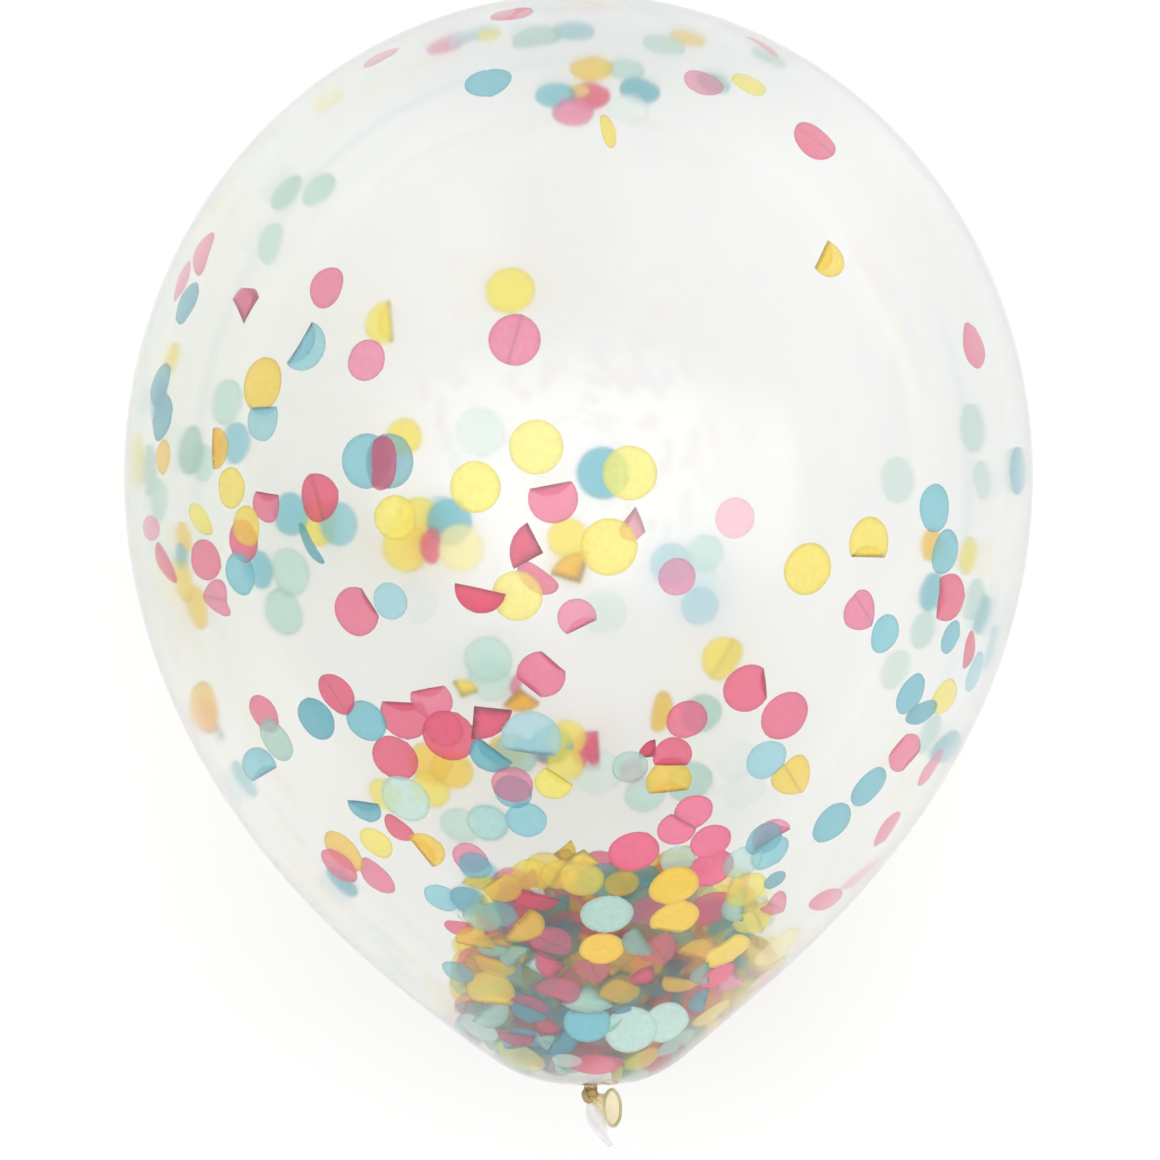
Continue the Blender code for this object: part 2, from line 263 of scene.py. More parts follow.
DRIFT_DOTS = (
    near(MINT, 275, 740, 0.0, 0.96), near(PINK, 264, 714, 0.12, 0.8),
    near(BLUE, 257, 762, 0.2, 0.74, FLAP, 145, facing=28), far(BLUE, 243, 780, 0.45, 0.9),
    near(BLUE, 316, 719, 0.02, 0.9), near(PINK, 335, 695, 0.04, 0.88, RIDGED, 145),
    near(BLUE, 366, 721, 0.2, 0.86), near(PINK, 449, 736, 0.02, 1.1, layer=0.6),
    near(PINK, 405, 721, 0.08, 1.02, FLAP, 4), near(PINK, 433, 704, 0.15, 0.86, FLAP, -10),
    near(PINK, 444, 729, 0.1, 0.78, layer=0.0), near(PINK, 395, 758, 0.05, 0.98),
    near(PINK, 486, 720, 0.12, 1.4, QUARTER, -36), far(YELLOW, 430, 763, 0.1),
    far(YELLOW, 452, 770, 0.12, 0.95), far(YELLOW, 430, 790, 0.25, 0.9), far(YELLOW, 385, 795, 0.4, 0.8),
    near(MINT, 405, 799, 0.42, 1.04), near(BLUE, 532, 733, 0.55, 1.18, FLAP, 184),
    far(BLUE, 552, 745, 0.2, 0.9), far(PINK, 548, 757, 0.0, 0.8, HALF, 0), far(MINT, 515, 755, 0.0),
    near(BLUE, 487, 759, 0.12, 0.85, DEE, 40), far(YELLOW, 506, 752, 0.1, 0.8),
    far(YELLOW, 567, 738, 0.25, 0.85), far(PINK, 585, 751, 0.1, 0.95, DEE, 90),
    near(PINK, 512, 785, 0.25, 0.8, body=0.36), near(BLUE, 513, 792, 0.25, 0.74, body=0.3),
    near(YELLOW, 551, 786, 0.25, 0.72, FLAP, 30), far(YELLOW, 565, 765, 0.3, 0.8),
    near(MINT, 487, 823, 0.3, 0.8), far(BLUE, 488, 823, 0.35, 0.9), near(BLUE, 526, 820, 0.4, 0.8),
    far(MINT, 460, 826, 0.45, 0.9), near(BLUE, 366, 812, 0.08, 0.74, DEE, 8),
    near(PINK, 398, 829, 0.05, 0.74, EDGE, 130), near(YELLOW, 376, 843, 0.22, 0.76),
    near(YELLOW, 430, 848, 0.08, 0.82, DEE, -130), near(YELLOW, 343, 852, 0.0, 1.0, EDGE, 138),
    near(PINK, 339, 866, 0.1, 0.9), far(BLUE, 341, 882, 0.1, 0.85),
    near(PINK, 376, 877, 0.15, 0.9, EDGE, 138), near(PINK, 470, 858, 0.25, 0.74, body=0.45),
    near(BLUE, 475, 866, 0.4, 0.66, body=0.4), far(BLUE, 480, 872, 0.5, 0.8),
    near(BLUE, 441, 898, 0.4, 0.74), far(BLUE, 468, 901, 0.1, 0.85),
    near(PINK, 673, 752, 0.05, 0.76, FLAP, 180), near(PINK, 650, 752, 0.05, 0.7, QUARTER, 135),
    near(YELLOW, 669, 777, 0.05, 0.9, FLAP, 180), far(MINT, 690, 782, 0.15),
    far(MINT, 645, 795, 0.3, 0.9), near(MINT, 630, 767, 0.15, 0.72), far(PINK, 632, 770, 0.2, 0.6),
    far(MINT, 598, 772, 0.6, 1.1), far(MINT, 745, 790, 0.84, body=0.1),
)

LID_DOTS = (
    near(YELLOW, 674, 887, 0.06, layer=0.0), near(YELLOW, 676, 917, 0.06, 0.98, NICK, 192, layer=0.5),
    near(PINK, 634, 852, 0.1, 0.98), near(PINK, 694, 812, 0.16, 0.78),
    near(PINK, 674, 832, 0.16, 0.78, FLAP, 30), near(PINK, 711, 842, 0.14, 0.84),
    near(PINK, 711, 869, 0.1, 0.96), near(MINT, 607, 914, 0.12, 1.04), near(YELLOW, 602, 949, 0.02, 0.9),
    near(YELLOW, 729, 953, 0.1, 0.98, NICK, -32), near(PINK, 718, 977, 0.05, 0.8, EDGE, 62),
    near(MINT, 631, 1030, 0.16, 1.06, layer=0.3, facing=26),
    near(MINT, 666, 1023, 0.16, 0.94, layer=0.0, facing=32),
    near(BLUE, 587, 1027, 0.16, 0.95, FLAP, 0, layer=0.6, facing=24),
)

PILE_TOP_DOTS = (
    near(YELLOW, 505, 890, 0.2, 0.8, FLAP, -30), near(YELLOW, 532, 876, 0.2, 0.8),
    near(YELLOW, 560, 875, 0.2, 0.8), near(YELLOW, 583, 858, 0.45, 0.9, QUARTER, 0),
    near(YELLOW, 582, 880, 0.22, 0.84, layer=0.2, body=0.5), near(BLUE, 600, 880, 0.2, 0.84, layer=1.4),
    near(YELLOW, 622, 884, 0.08, 0.7, layer=0.4), near(PINK, 533, 902, 0.08, 1.0, HALF, 20),
    near(BLUE, 500, 914, 0.35, 0.72), near(BLUE, 466, 900, 0.4, 0.66), near(MINT, 482, 918, 0.1, 0.8),
    near(MINT, 539, 890, 0.65, 0.5, QUARTER, 30), near(YELLOW, 529, 929, 0.12, 1.1, HALF, -50, body=0.4),
    near(YELLOW, 474, 938, 0.1, 0.8, DEE, 190), near(PINK, 459, 928, 0.0, 0.6, EDGE, 100),
    near(MINT, 490, 950, 0.0, 0.8, HALF, 10), near(PINK, 551, 945, 0.15, 0.85, CREASED, 20, body=0.4),
    near(PINK, 551, 967, 0.15, 1.2, QUARTER, 60, body=0.4),
    near(PINK, 560, 990, 0.15, 0.95, FLAP, 200, body=0.4), near(MINT, 533, 966, 0.5, 0.7, QUARTER, 250),
    near(MINT, 511, 955, 0.1, 0.8, HALF, 140), near(YELLOW, 494, 968, 0.12, 0.85, DEE, 20),
    near(BLUE, 458, 972, 0.35, 0.7), near(YELLOW, 491, 988, 0.15, 0.98, FLAP, 180, body=0.5, facing=30),
    near(BLUE, 529, 1009, 0.0, 0.86, FLAP, 20, body=0.45, facing=35),
    near(PINK, 532, 1003, 0.3, 0.8, HALF, 200, body=0.2),
    near(MINT, 494, 1016, 0.2, 1.0, HALF, 320, facing=35),
    near(BLUE, 522, 1039, 0.0, 0.95, HALF, 170, body=0.6, facing=45),
    near(PINK, 516, 1040, 0.15, 0.8, HALF, 10, body=0.22, facing=45),
    near(MINT, 553, 1043, 0.0, 1.1, QUARTER, 40, body=0.5, facing=45),
    near(BLUE, 564, 1046, 0.1, 0.9, HALF, -60, facing=45),
    near(PINK, 545, 1030, 0.2, 0.9, QUARTER, 200, body=0.22, facing=40),
    near(MINT, 588, 998, 0.15, 1.5, QUARTER, 0, layer=0.0, body=0.5, facing=30),
    near(YELLOW, 620, 992, 0.08, 0.8, GATE, 20), near(PINK, 592, 972, 0.15, 0.8, CREASED, 70, layer=1.0),
    near(PINK, 597, 1065, 0.1, 1.1, body=0.6, facing=66), near(MINT, 567, 1061, 0.7, 0.6, EDGE, 100),
    near(YELLOW, 642, 1060, 0.2, 0.8), near(YELLOW, 712, 1014, 0.35, 0.9, body=0.5),
    near(BLUE, 698, 1002, 0.1, 0.8, HALF, 100), near(MINT, 676, 1043, 0.1, 0.9, layer=1.0, body=0.5),
    near(MINT, 479, 1029, 0.5, 0.9, EDGE, 120, body=0.5, facing=60),
    near(YELLOW, 520, 1058, 0.5, 1.1, EDGE, 115), near(PINK, 769, 832, 0.25, 0.84, DEE, 150, body=0.36),
    near(BLUE, 764, 840, 0.3, 0.8), near(BLUE, 770, 853, 0.3, 0.86, body=0.5),
    near(MINT, 743, 862, 0.3, 0.84), near(BLUE, 775, 880, 0.0, 0.5),
    near(PINK, 775, 908, 0.2, 0.72, CREASED, 30),
    near(PINK, 711, 909, 0.1, 0.95, GATE, 95, layer=1.6, body=0.4),
    near(PINK, 648, 912, 0.2, 0.85, layer=1.8, body=0.3), near(YELLOW, 746, 890, 0.35, 0.9, layer=0.2),
    near(MINT, 734, 908, 0.3, 1.0, HALF, 100, layer=1.2),
    near(YELLOW, 757, 922, 0.3, 0.95, CREASED, 60, layer=0.6, body=0.5),
    near(YELLOW, 778, 948, 0.6, 1.1, layer=0.2), near(YELLOW, 701, 950, 0.1, 1.0, HALF, 200, layer=1.2),
    near(PINK, 730, 984, 0.45, 0.9, HALF, 40, body=0.5), near(MINT, 700, 976, 0.0, 0.8, HALF, 90),
    near(YELLOW, 766, 976, 0.6, 0.9), near(MINT, 678, 860, 0.25, 0.7, body=0.5),
    near(BLUE, 646, 877, 0.0, 0.56, layer=2.0), near(PINK, 657, 953, 0.15, 0.9, CREASED, 50),
    near(MINT, 635, 945, 0.0, 0.95, HALF, 60), near(YELLOW, 678, 986, 0.08, 0.9, HALF, 10),
    near(PINK, 645, 980, 0.1, 1.0, QUARTER, 140),
)


def unit(vectors: Array) -> Array:
    """The same directions, each with a length of 1."""
    return vectors / np.linalg.norm(vectors, axis=-1, keepdims=True)


def full_turn(count: int) -> Array:
    """Angles spread evenly round a circle."""
    return np.linspace(0.0, 2 * math.pi, count, endpoint=False)


@dataclass(frozen=True)
class BalloonShape:
    """The balloon's outline: a surface turned about an axis that lies along Y.

    Sizes are in metres. The radius, the crown's length and the axis's height come from the
    frame's solid, and the others repeat the solid's own driving sizes.
    """

    radius: float
    crown: float
    axis_height: float
    shoulder: float = 0.2013
    shoulder_power: float = 0.76
    neck_rounding: float = 17.0
    neck_radius: float = 0.0022
    neck_offset: float = 0.0040
    neck_bend: float = 8.0
    skin: float = 0.00025
    slope_step: float = 0.001
    least_room: float = 0.00001

    @classmethod
    def from_frame(cls) -> "BalloonShape":
        """The outline that fits the frame's solid balloon.

        Returns:
            The shape, with its radius, crown and axis measured from the node's box.
        """
        low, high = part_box(NODE)
        radius = (high.x - low.x) / 2
        return cls(radius=radius, crown=high.y, axis_height=high.z - radius)

    def radius_at(self, along: Array) -> Array:
        """The outer radius at places along the axis.

        Above the widest ring it is the ellipse's R times the root of 1 - (y / crown) squared.
        Below it is R times 1 - s squared to a power, where s is -y / shoulder, and the power
        falls to an ellipse's one half as s nears 1.

        Args:
            along: distances along the axis from the widest ring, towards the crown.

        Returns:
            The radii, in metres.
        """
        above = np.clip(along / self.crown, 0.0, 1.0)
        below = np.clip(-along / self.shoulder, 0.0, 1.0)
        power = self.shoulder_power - (self.shoulder_power - 0.5) * below**self.neck_rounding
        return self.radius * np.sqrt(1.0 - above**2) * (1.0 - below**2) ** power

    def shift_at(self, along: Array) -> Array:
        """How far the axis leans towards +X: the neck's offset times s to a high power."""
        return self.neck_offset * np.clip(-along / self.shoulder, 0.0, 1.0) ** self.neck_bend

    def outward(self, points: Array) -> Array:
        """The outward directions of the wall nearest to these points.

        The direction is the way out from the axis, leaned along Y by minus the outline's slope.

        Args:
            points: an array of positions, with X, Y and Z last.

        Returns:
            Unit directions of the same shape.
        """
        step = self.radius * self.slope_step
        along = np.clip(points[..., 1], -self.shoulder + 2 * step, self.crown - 2 * step)
        slope = (self.radius_at(along + step) - self.radius_at(along - step)) / (2 * step)
        out_x = points[..., 0] - self.shift_at(along)
        out_z = points[..., 2] - self.axis_height
        reach = np.maximum(np.hypot(out_x, out_z), LEAST)
        return unit(np.stack([out_x / reach, -slope, out_z / reach], axis=-1))

    def kept_inside(self, points: Array, clearance: float) -> Array:
        """Draws points in towards the axis where they would come through the wall.

        Args:
            points: an array of positions, with X, Y and Z last.
            clearance: the least gap to the outer surface, in metres.

        Returns:
            The positions, none further from the axis than the wall allows.
        """
        inside = points.copy()
        inside[..., 1] = np.clip(inside[..., 1], -self.shoulder + clearance, self.crown - clearance)
        shift = self.shift_at(inside[..., 1])
        out_x = inside[..., 0] - shift
        out_z = inside[..., 2] - self.axis_height
        reach = np.maximum(np.hypot(out_x, out_z), LEAST)
        room = np.maximum(self.radius_at(inside[..., 1]) - clearance, self.least_room)
        share = np.minimum(room / reach, 1.0)
        inside[..., 0] = shift + out_x * share
        inside[..., 2] = np.maximum(self.axis_height + out_z * share, clearance)
        return inside


@dataclass(frozen=True)
class PhotoView:
    """The camera's view of the balloon, and the way from a pixel of the photograph to the frame."""

    pixels: int = 1160
    frame_width: float = 0.3839
    middle_x: float = 0.0005
    middle_y: float = -0.0343
    distance: float = 2.0
    sensor: float = 36.0
    sight_end: float = 50.0
    sight_steps: int = 30
    least_gap: float = 0.0003

    def on_wall(self, shape: BalloonShape, x: Array, y: Array, side: Array, gap: Array) -> Array:
        """Where the sight lines through these pixels meet the wall.

        Each step moves to where the line crosses the last height found, then to the wall's
        height there, half way at a time.

        Args:
            shape: the balloon's outline.
            x, y: pixels of the photograph.
            side: 1 for the upper wall and -1 for the lower one.
            gap: how far inside the outer surface the place is, in metres.

        Returns:
            One position for each pixel.
        """
        across = (x / self.pixels - 0.5) * self.frame_width
        along = (0.5 - y / self.pixels) * self.frame_width
        height = np.full(x.shape, shape.axis_height)
        for _ in range(self.sight_steps):
            scale = (self.distance + shape.axis_height - height) / self.distance
            place_x = self.middle_x + across * scale
            place_y = self.middle_y + along * scale
            room = np.maximum(shape.radius_at(place_y) - gap, 0.0)
            half = np.sqrt(np.maximum(room**2 - (place_x - shape.shift_at(place_y)) ** 2, 0.0))
            height = (height + shape.axis_height + side * half) / 2
        return shape.kept_inside(np.stack([place_x, place_y, height], axis=-1), self.least_gap)

    def add_camera(self, shape: BalloonShape) -> None:
        """Makes the camera: straight above the lying balloon, crown at the picture's top."""
        data = bpy.data.cameras.new("photo_view")
        data.sensor_width = self.sensor
        data.lens = self.sensor * self.distance / self.frame_width
        data.clip_end = self.sight_end
        camera = bpy.data.objects.new("photo_view", data)
        camera.location = (self.middle_x, self.middle_y, shape.axis_height + self.distance)
        bpy.context.scene.collection.objects.link(camera)
        bpy.context.scene.camera = camera


class Sheet:
    """A small helper that lays out shader nodes in one tree."""

    def __init__(self, tree: bpy.types.NodeTree) -> None:
        """Starts with an empty tree."""
        self.tree = tree
        self.tree.nodes.clear()

    def fill(self, socket: Socket, value: Value) -> None:
        """Gives an input an output to read, a colour or a plain value.

        Args:
            socket: the input.
            value: the output, the colour or the value.
        """
        if isinstance(value, Socket):
            self.tree.links.new(value, socket)
        else:
            socket.default_value = (*value, 1.0) if socket.type == "RGBA" else value

    def add(
        self, kind: str, values: dict[str | int, Value] | None = None, **settings: object
    ) -> bpy.types.Node:
        """Adds a node.

        Args:
            kind: the node's type.
            values: what goes into its inputs, by their names or numbers.
            settings: the node's own properties.

        Returns:
            The node.
        """
        node = self.tree.nodes.new(kind)
        for name, value in settings.items():
            setattr(node, name, value)
        for name, value in (values or {}).items():
            self.fill(node.inputs[name], value)
        return node

    def place(self) -> Socket:
        """The piece's own Object coordinates."""
        return self.add("ShaderNodeTexCoord").outputs["Object"]

    def maths(self, operation: str, first: Value, second: Value) -> Socket:
        """What two values give under an operation, such as MULTIPLY."""
        return self.add("ShaderNodeMath", {0: first, 1: second}, operation=operation).outputs[0]

    def blend(self, first: Value, second: Value, share: Value) -> Socket:
        """A colour that runs from the first to the second as the share goes from 0 to 1."""
        values = {"Factor": share, 6: first, 7: second}
        return self.add("ShaderNodeMix", values, data_type="RGBA").outputs[2]

    def ranged(
        self, value: Socket, start: float, end: float, low: float = 0.0, high: float = 1.0
    ) -> Socket:
        """A value eased from low to high as the given one goes from start to end."""
        values = {"Value": value, "From Min": start, "From Max": end, "To Min": low, "To Max": high}
        return self.add("ShaderNodeMapRange", values, interpolation_type="SMOOTHSTEP").outputs[0]

    def scaled(self, colour: Socket, share: Socket) -> Socket:
        """A colour times a value."""
        return self.add("ShaderNodeVectorMath", {0: colour, "Scale": share}, operation="SCALE").outputs[0]

    def bumped(self, height: Socket, strength: float, depth: float) -> Socket:
        """The normal of a surface with fine bumps of this height, strength and depth in metres."""
        values = {"Height": height, "Strength": strength, "Distance": depth}
        return self.add("ShaderNodeBump", values).outputs[0]

    def group(self, group: "GroupSheet", **values: Value) -> bpy.types.Node:
        """Places a group, with its inputs by name, such as deep for Deep."""
        titled = {name.title(): value for name, value in values.items()}
        return self.add("ShaderNodeGroup", titled, node_tree=group.tree)


class GroupSheet(Sheet):
    """A shader node group with named inputs and outputs."""

    def __init__(self, name: str, inputs: dict[str, str], outputs: dict[str, str]) -> None:
        """Starts a group whose sockets are given as names and their kinds."""
        super().__init__(bpy.data.node_groups.new(name, "ShaderNodeTree"))
        for way, sockets in (("INPUT", inputs), ("OUTPUT", outputs)):
            for socket, kind in sockets.items():
                self.tree.interface.new_socket(name=socket, in_out=way, socket_type="NodeSocket" + kind)
        self.inputs = self.tree.nodes.new("NodeGroupInput").outputs
        self.outputs = self.tree.nodes.new("NodeGroupOutput").inputs


class MaterialSheet(Sheet):
    """The nodes of one material."""

    def __init__(self, name: str) -> None:
        """Starts a material of that name."""
        self.material = bpy.data.materials.new(name)
        self.material.use_nodes = True
        super().__init__(self.material.node_tree)

    def unless_lighting(self, seen: Socket, passed: Colour) -> Socket:
        """A surface as the camera sees it, which light on its way to other things passes through.

        Rays towards lamps and rays that leave matt surfaces take only a tint, which keeps the
        picture clean and quick.

        Args:
            seen: the shader that the camera sees.
            passed: the tint that passing light takes.

        Returns:
            The shader's output.
        """
        tint = self.add("ShaderNodeBsdfTransparent", {"Color": passed}).outputs[0]
        path = self.add("ShaderNodeLightPath").outputs
        passing = self.maths("MAXIMUM", path["Is Shadow Ray"], path["Is Diffuse Ray"])
        return self.add("ShaderNodeMixShader", {0: passing, 1: seen, 2: tint}).outputs[0]

    def finish(self, shader: Socket) -> bpy.types.Material:
        """Joins the shader to the material's output, and gives the material back."""
        self.add("ShaderNodeOutputMaterial", {"Surface": shader})
        return self.material


@dataclass(frozen=True)
class ClearLatex:
    """The finish of the thin clear skin: see-through, glossy and a little milky.

    Each tint is an axis, the two places along it between which the tint comes in, the most of it
    and its colour. The first four are painted shade: the skin is darker towards the left and the
    right side, towards the neck and at the crown. The last two make it greyer and then amber where
    it is gathered into the knot.
    """

    clear: Colour = (0.978, 0.981, 0.976)
    band: Colour = (0.955, 0.962, 0.955)
    rim: Colour = (0.953, 0.965, 0.953)
    painted_shade_and_gather_tints: tuple[tuple[str, float, float, float, Colour], ...] = (
        # painted shade: darker towards the left side, the right side, the neck and the crown
        ("X", -0.03, -0.14, 1.0, (0.915, 0.925, 0.888)),
        ("X", 0.08, 0.145, 1.0, (0.930, 0.935, 0.925)),
        ("Y", -0.02, -0.12, 0.7, (0.955, 0.962, 0.950)),
        ("Y", 0.100, 0.150, 1.0, (0.870, 0.885, 0.880)),
        # the gathered latex's own tint, greyer and then amber at the knot
        ("Y", -0.192, -0.2008, 1.0, (0.92, 0.89, 0.84)),
        ("Y", -0.2014, -0.2024, 1.0, (0.58, 0.42, 0.20)),
    )
    band_starts: float = 0.30
    band_full: float = 0.55
    rim_starts: float = 0.62
    rim_full: float = 0.72
    roughness: float = 0.055
    ior: float = 1.42
    clearness: float = 0.985
    passed: Colour = (0.99, 0.99, 0.99)
    angle_blend: float = 0.5
    cloud_scale: float = 9.0
    cloud_stretch: float = 0.35
    cloud_detail: float = 2.0
    cloud_starts: float = 0.35
    cloud_full: float = 0.65
    cloud_shade: float = 0.975

    def material(self) -> bpy.types.Material:
        """Builds the material.

        Glass with a slight blur. Its tint follows the angle it is seen at, because the line of
        sight runs through more of the skin near the outline, and then the table's tints: painted
        shade towards the sides, the neck and the crown, and the gathered latex's own tint at the
        knot. A broad noise in it, stretched along the balloon, stands for the skin's uneven thickness.

        Returns:
            The material.
        """
        sheet = MaterialSheet("clear_latex")
        angle = sheet.add("ShaderNodeLayerWeight", {"Blend": self.angle_blend}).outputs["Facing"]
        tint = sheet.blend(self.clear, self.band, sheet.ranged(angle, self.band_starts, self.band_full))
        tint = sheet.blend(tint, self.rim, sheet.ranged(angle, self.rim_starts, self.rim_full))
        ways = sheet.add("ShaderNodeSeparateXYZ", {0: sheet.place()}).outputs
        # painted shade towards the sides, the neck and the crown, then the gathered latex's tint
        for axis, start, end, most, colour in self.painted_shade_and_gather_tints:
            tint = sheet.blend(tint, colour, sheet.ranged(ways[axis], start, end, 0.0, most))
        stretch = {"Vector": sheet.place(), "Scale": (1.0, self.cloud_stretch, 1.0)}
        noise = {"Scale": self.cloud_scale, "Detail": self.cloud_detail}
        noise["Vector"] = sheet.add("ShaderNodeMapping", stretch).outputs[0]
        cloud = sheet.add("ShaderNodeTexNoise", noise).outputs["Fac"]
        uneven = sheet.ranged(cloud, self.cloud_starts, self.cloud_full, self.cloud_shade, 1.0)
        looks = {"Roughness": self.roughness, "IOR": self.ior, "Transmission Weight": self.clearness}
        looks["Base Color"] = sheet.scaled(tint, uneven)
        glass = sheet.add("ShaderNodeBsdfPrincipled", looks).outputs[0]
        return sheet.finish(sheet.unless_lighting(glass, self.passed))


@dataclass(frozen=True)
class TissuePattern:
    """The pattern that every colour of tissue shares: its dye, cut edge, fibres and painted crease shade."""

    typical_tone: float = 0.3
    rim_starts: float = 0.80
    rim_full: float = 0.98
    rim_depth: float = 0.80
    # painted shade along the creases: how far from a crease line it reaches, and how dark it gets there
    painted_crease_shade_width: float = 0.13
    painted_crease_shade_depth: float = 0.76
    fibre_scale: float = 650.0
    fibre_detail: float = 3.0
    fibre_roughness: float = 0.7
    fibre_starts: float = 0.3
    fibre_full: float = 0.7
    fibre_dark: float = 0.90
    fibre_light: float = 1.06

    def group(self) -> GroupSheet:
        """Builds the group.

        The dye runs from deep to usual as the tone rises to its usual value. Its depth is the
        product of the cut edge's shade, the painted shade of the creases and the fibres' shades: the
        first falls off past a share of the radius, and the second darkens the paper near either line
        of the crease. What is left of the tone then takes the colour to white.

        Returns:
            The group.
        """
        kinds = {"Deep": "Color", "Face": "Color", "Tone": "Float"}
        kinds |= {"Flat": "Vector", "Crease": "Vector", "Place": "Vector"}
        sheet = GroupSheet("tissue_pattern", kinds, {"Colour": "Color", "Height": "Float"})
        given = sheet.inputs
        reach = sheet.add("ShaderNodeVectorMath", {0: given["Flat"]}, operation="LENGTH")
        rim = sheet.ranged(reach.outputs["Value"], self.rim_starts, self.rim_full, 1.0, self.rim_depth)
        ends = {0: given["Flat"], 1: given["Crease"]}
        gap = sheet.add("ShaderNodeVectorMath", ends, operation="SUBTRACT").outputs[0]
        size = sheet.add("ShaderNodeVectorMath", {0: gap}, operation="ABSOLUTE").outputs[0]
        ways = sheet.add("ShaderNodeSeparateXYZ", {0: size}).outputs
        nearer = sheet.maths("MINIMUM", ways["X"], ways["Y"])
        # painted shade: the paper is darker near either line of a crease
        crease = sheet.ranged(nearer, 0.0, self.painted_crease_shade_width, self.painted_crease_shade_depth, 1.0)
        noise = {"Scale": self.fibre_scale, "Detail": self.fibre_detail}
        noise |= {"Roughness": self.fibre_roughness, "Vector": given["Place"]}
        fibres = sheet.add("ShaderNodeTexNoise", noise).outputs["Fac"]
        shade = sheet.ranged(
            fibres, self.fibre_starts, self.fibre_full, self.fibre_dark, self.fibre_light
        )
        dye = sheet.blend(given["Deep"], given["Face"], sheet.ranged(given["Tone"], 0.0, self.typical_tone))
        dye = sheet.scaled(dye, sheet.maths("MULTIPLY", sheet.maths("MULTIPLY", rim, crease), shade))
        paling = sheet.ranged(given["Tone"], self.typical_tone, 1.0)
        sheet.fill(sheet.outputs["Colour"], sheet.blend(dye, WHITE, paling))
        sheet.fill(sheet.outputs["Height"], fibres)
        return sheet


@dataclass(frozen=True)
class Tissue:
    """The finish of one colour of tissue paper: matt, fibrous, and partly see-through."""

    slot: str
    deep: Colour
    face: Colour
    passed: Colour
    clearing: float = 0.22
    roughness: float = 0.85
    specular: float = 0.15
    crumple: float = 0.35
    crumple_depth: float = 0.0003

    def material(self, pattern: GroupSheet) -> bpy.types.Material:
        """Builds the material.

        Part of the light passes straight through and takes the dye's tint, so that dots that
        overlap darken each other, and the rest is matt paper. The tone attribute leads from the
        deep dye through the usual one to white, the body attribute makes a dot more solid, the
        flat attribute is a point's place on the flat dot, and the crease attribute says where
        its creases cross it.

        Args:
            pattern: the pattern that all the tissue shares.

        Returns:
            The material.
        """
        sheet = MaterialSheet(self.slot)
        read = {
            name: sheet.add("ShaderNodeAttribute", attribute_name=name).outputs[output]
            for name, output in (("tone", "Fac"), ("body", "Fac"), ("flat", "Vector"), ("crease", "Vector"))
        }
        body = read.pop("body")
        sheen = sheet.group(pattern, deep=self.deep, face=self.face, place=sheet.place(), **read).outputs
        dye = sheen["Colour"]
        looks = {"Base Color": dye, "Roughness": self.roughness, "Specular IOR Level": self.specular}
        looks["Normal"] = sheet.bumped(sheen["Height"], self.crumple, self.crumple_depth)
        paper = sheet.add("ShaderNodeBsdfPrincipled", looks).outputs[0]
        tint = sheet.blend(dye, WHITE, self.clearing)
        through = sheet.add("ShaderNodeBsdfTransparent", {"Color": tint}).outputs[0]
        mix = sheet.add("ShaderNodeMixShader", {0: body, 1: through, 2: paper}).outputs[0]
        return sheet.finish(sheet.unless_lighting(mix, self.passed))


def mottled_latex() -> GroupSheet:
    """The group that mottles gathered latex: two tones mixed by a fine noise.

    Returns:
        The group.
    """
    kinds = {"Light": "Color", "Dark": "Color", "Scale": "Float", "Place": "Vector"}
    sheet = GroupSheet("mottled_latex", kinds, {"Colour": "Color", "Height": "Float"})
    given = sheet.inputs
    noise = {"Vector": given["Place"], "Scale": given["Scale"], "Detail": 3.0}
    mottle = sheet.add("ShaderNodeTexNoise", noise).outputs["Fac"]
    sheet.fill(sheet.outputs["Colour"], sheet.blend(given["Light"], given["Dark"], mottle))
    sheet.fill(sheet.outputs["Height"], mottle)
    return sheet


@dataclass(frozen=True)
class ThickLatex:
    """The finish of the gathered neck: waxy latex, mottled in the two tones of one of its parts."""

    name: str
    light: Colour
    dark: Colour
    alpha: float = 1.0
    scale: float = 600.0
    roughness: float = 0.38
    ior: float = 1.5
    folds: float = 0.3
    fold_depth: float = 0.0001

    def material(self, mottling: GroupSheet) -> bpy.types.Material:
        """Builds the material: the mottling's two tones, with a soft gloss and fine folds.

        Args:
            mottling: the group that mixes the tones.

        Returns:
            The material.
        """
        sheet = MaterialSheet(self.name)
        tones = {"light": self.light, "dark": self.dark, "scale": self.scale}
        mottle = sheet.group(mottling, place=sheet.place(), **tones).outputs
        looks = {"Base Color": mottle["Colour"], "Roughness": self.roughness, "IOR": self.ior}
        looks |= {"Alpha": self.alpha, "Normal": sheet.bumped(mottle["Height"], self.folds, self.fold_depth)}
        return sheet.finish(sheet.add("ShaderNodeBsdfPrincipled", looks).outputs[0])


TISSUES = {
    Hue.PINK: Tissue(Hue.PINK.value, (0.83, 0.06, 0.17), (0.89, 0.27, 0.44), (0.84, 0.44, 0.52)),
    Hue.YELLOW: Tissue(Hue.YELLOW.value, (0.96, 0.60, 0.025), (0.98, 0.86, 0.13), (0.92, 0.80, 0.42)),
    Hue.BLUE: Tissue(Hue.BLUE.value, (0.08, 0.42, 0.54), (0.21, 0.60, 0.70), (0.50, 0.72, 0.80)),
    Hue.MINT: Tissue(Hue.MINT.value, (0.42, 0.66, 0.58), (0.58, 0.82, 0.76), (0.66, 0.82, 0.74)),
}


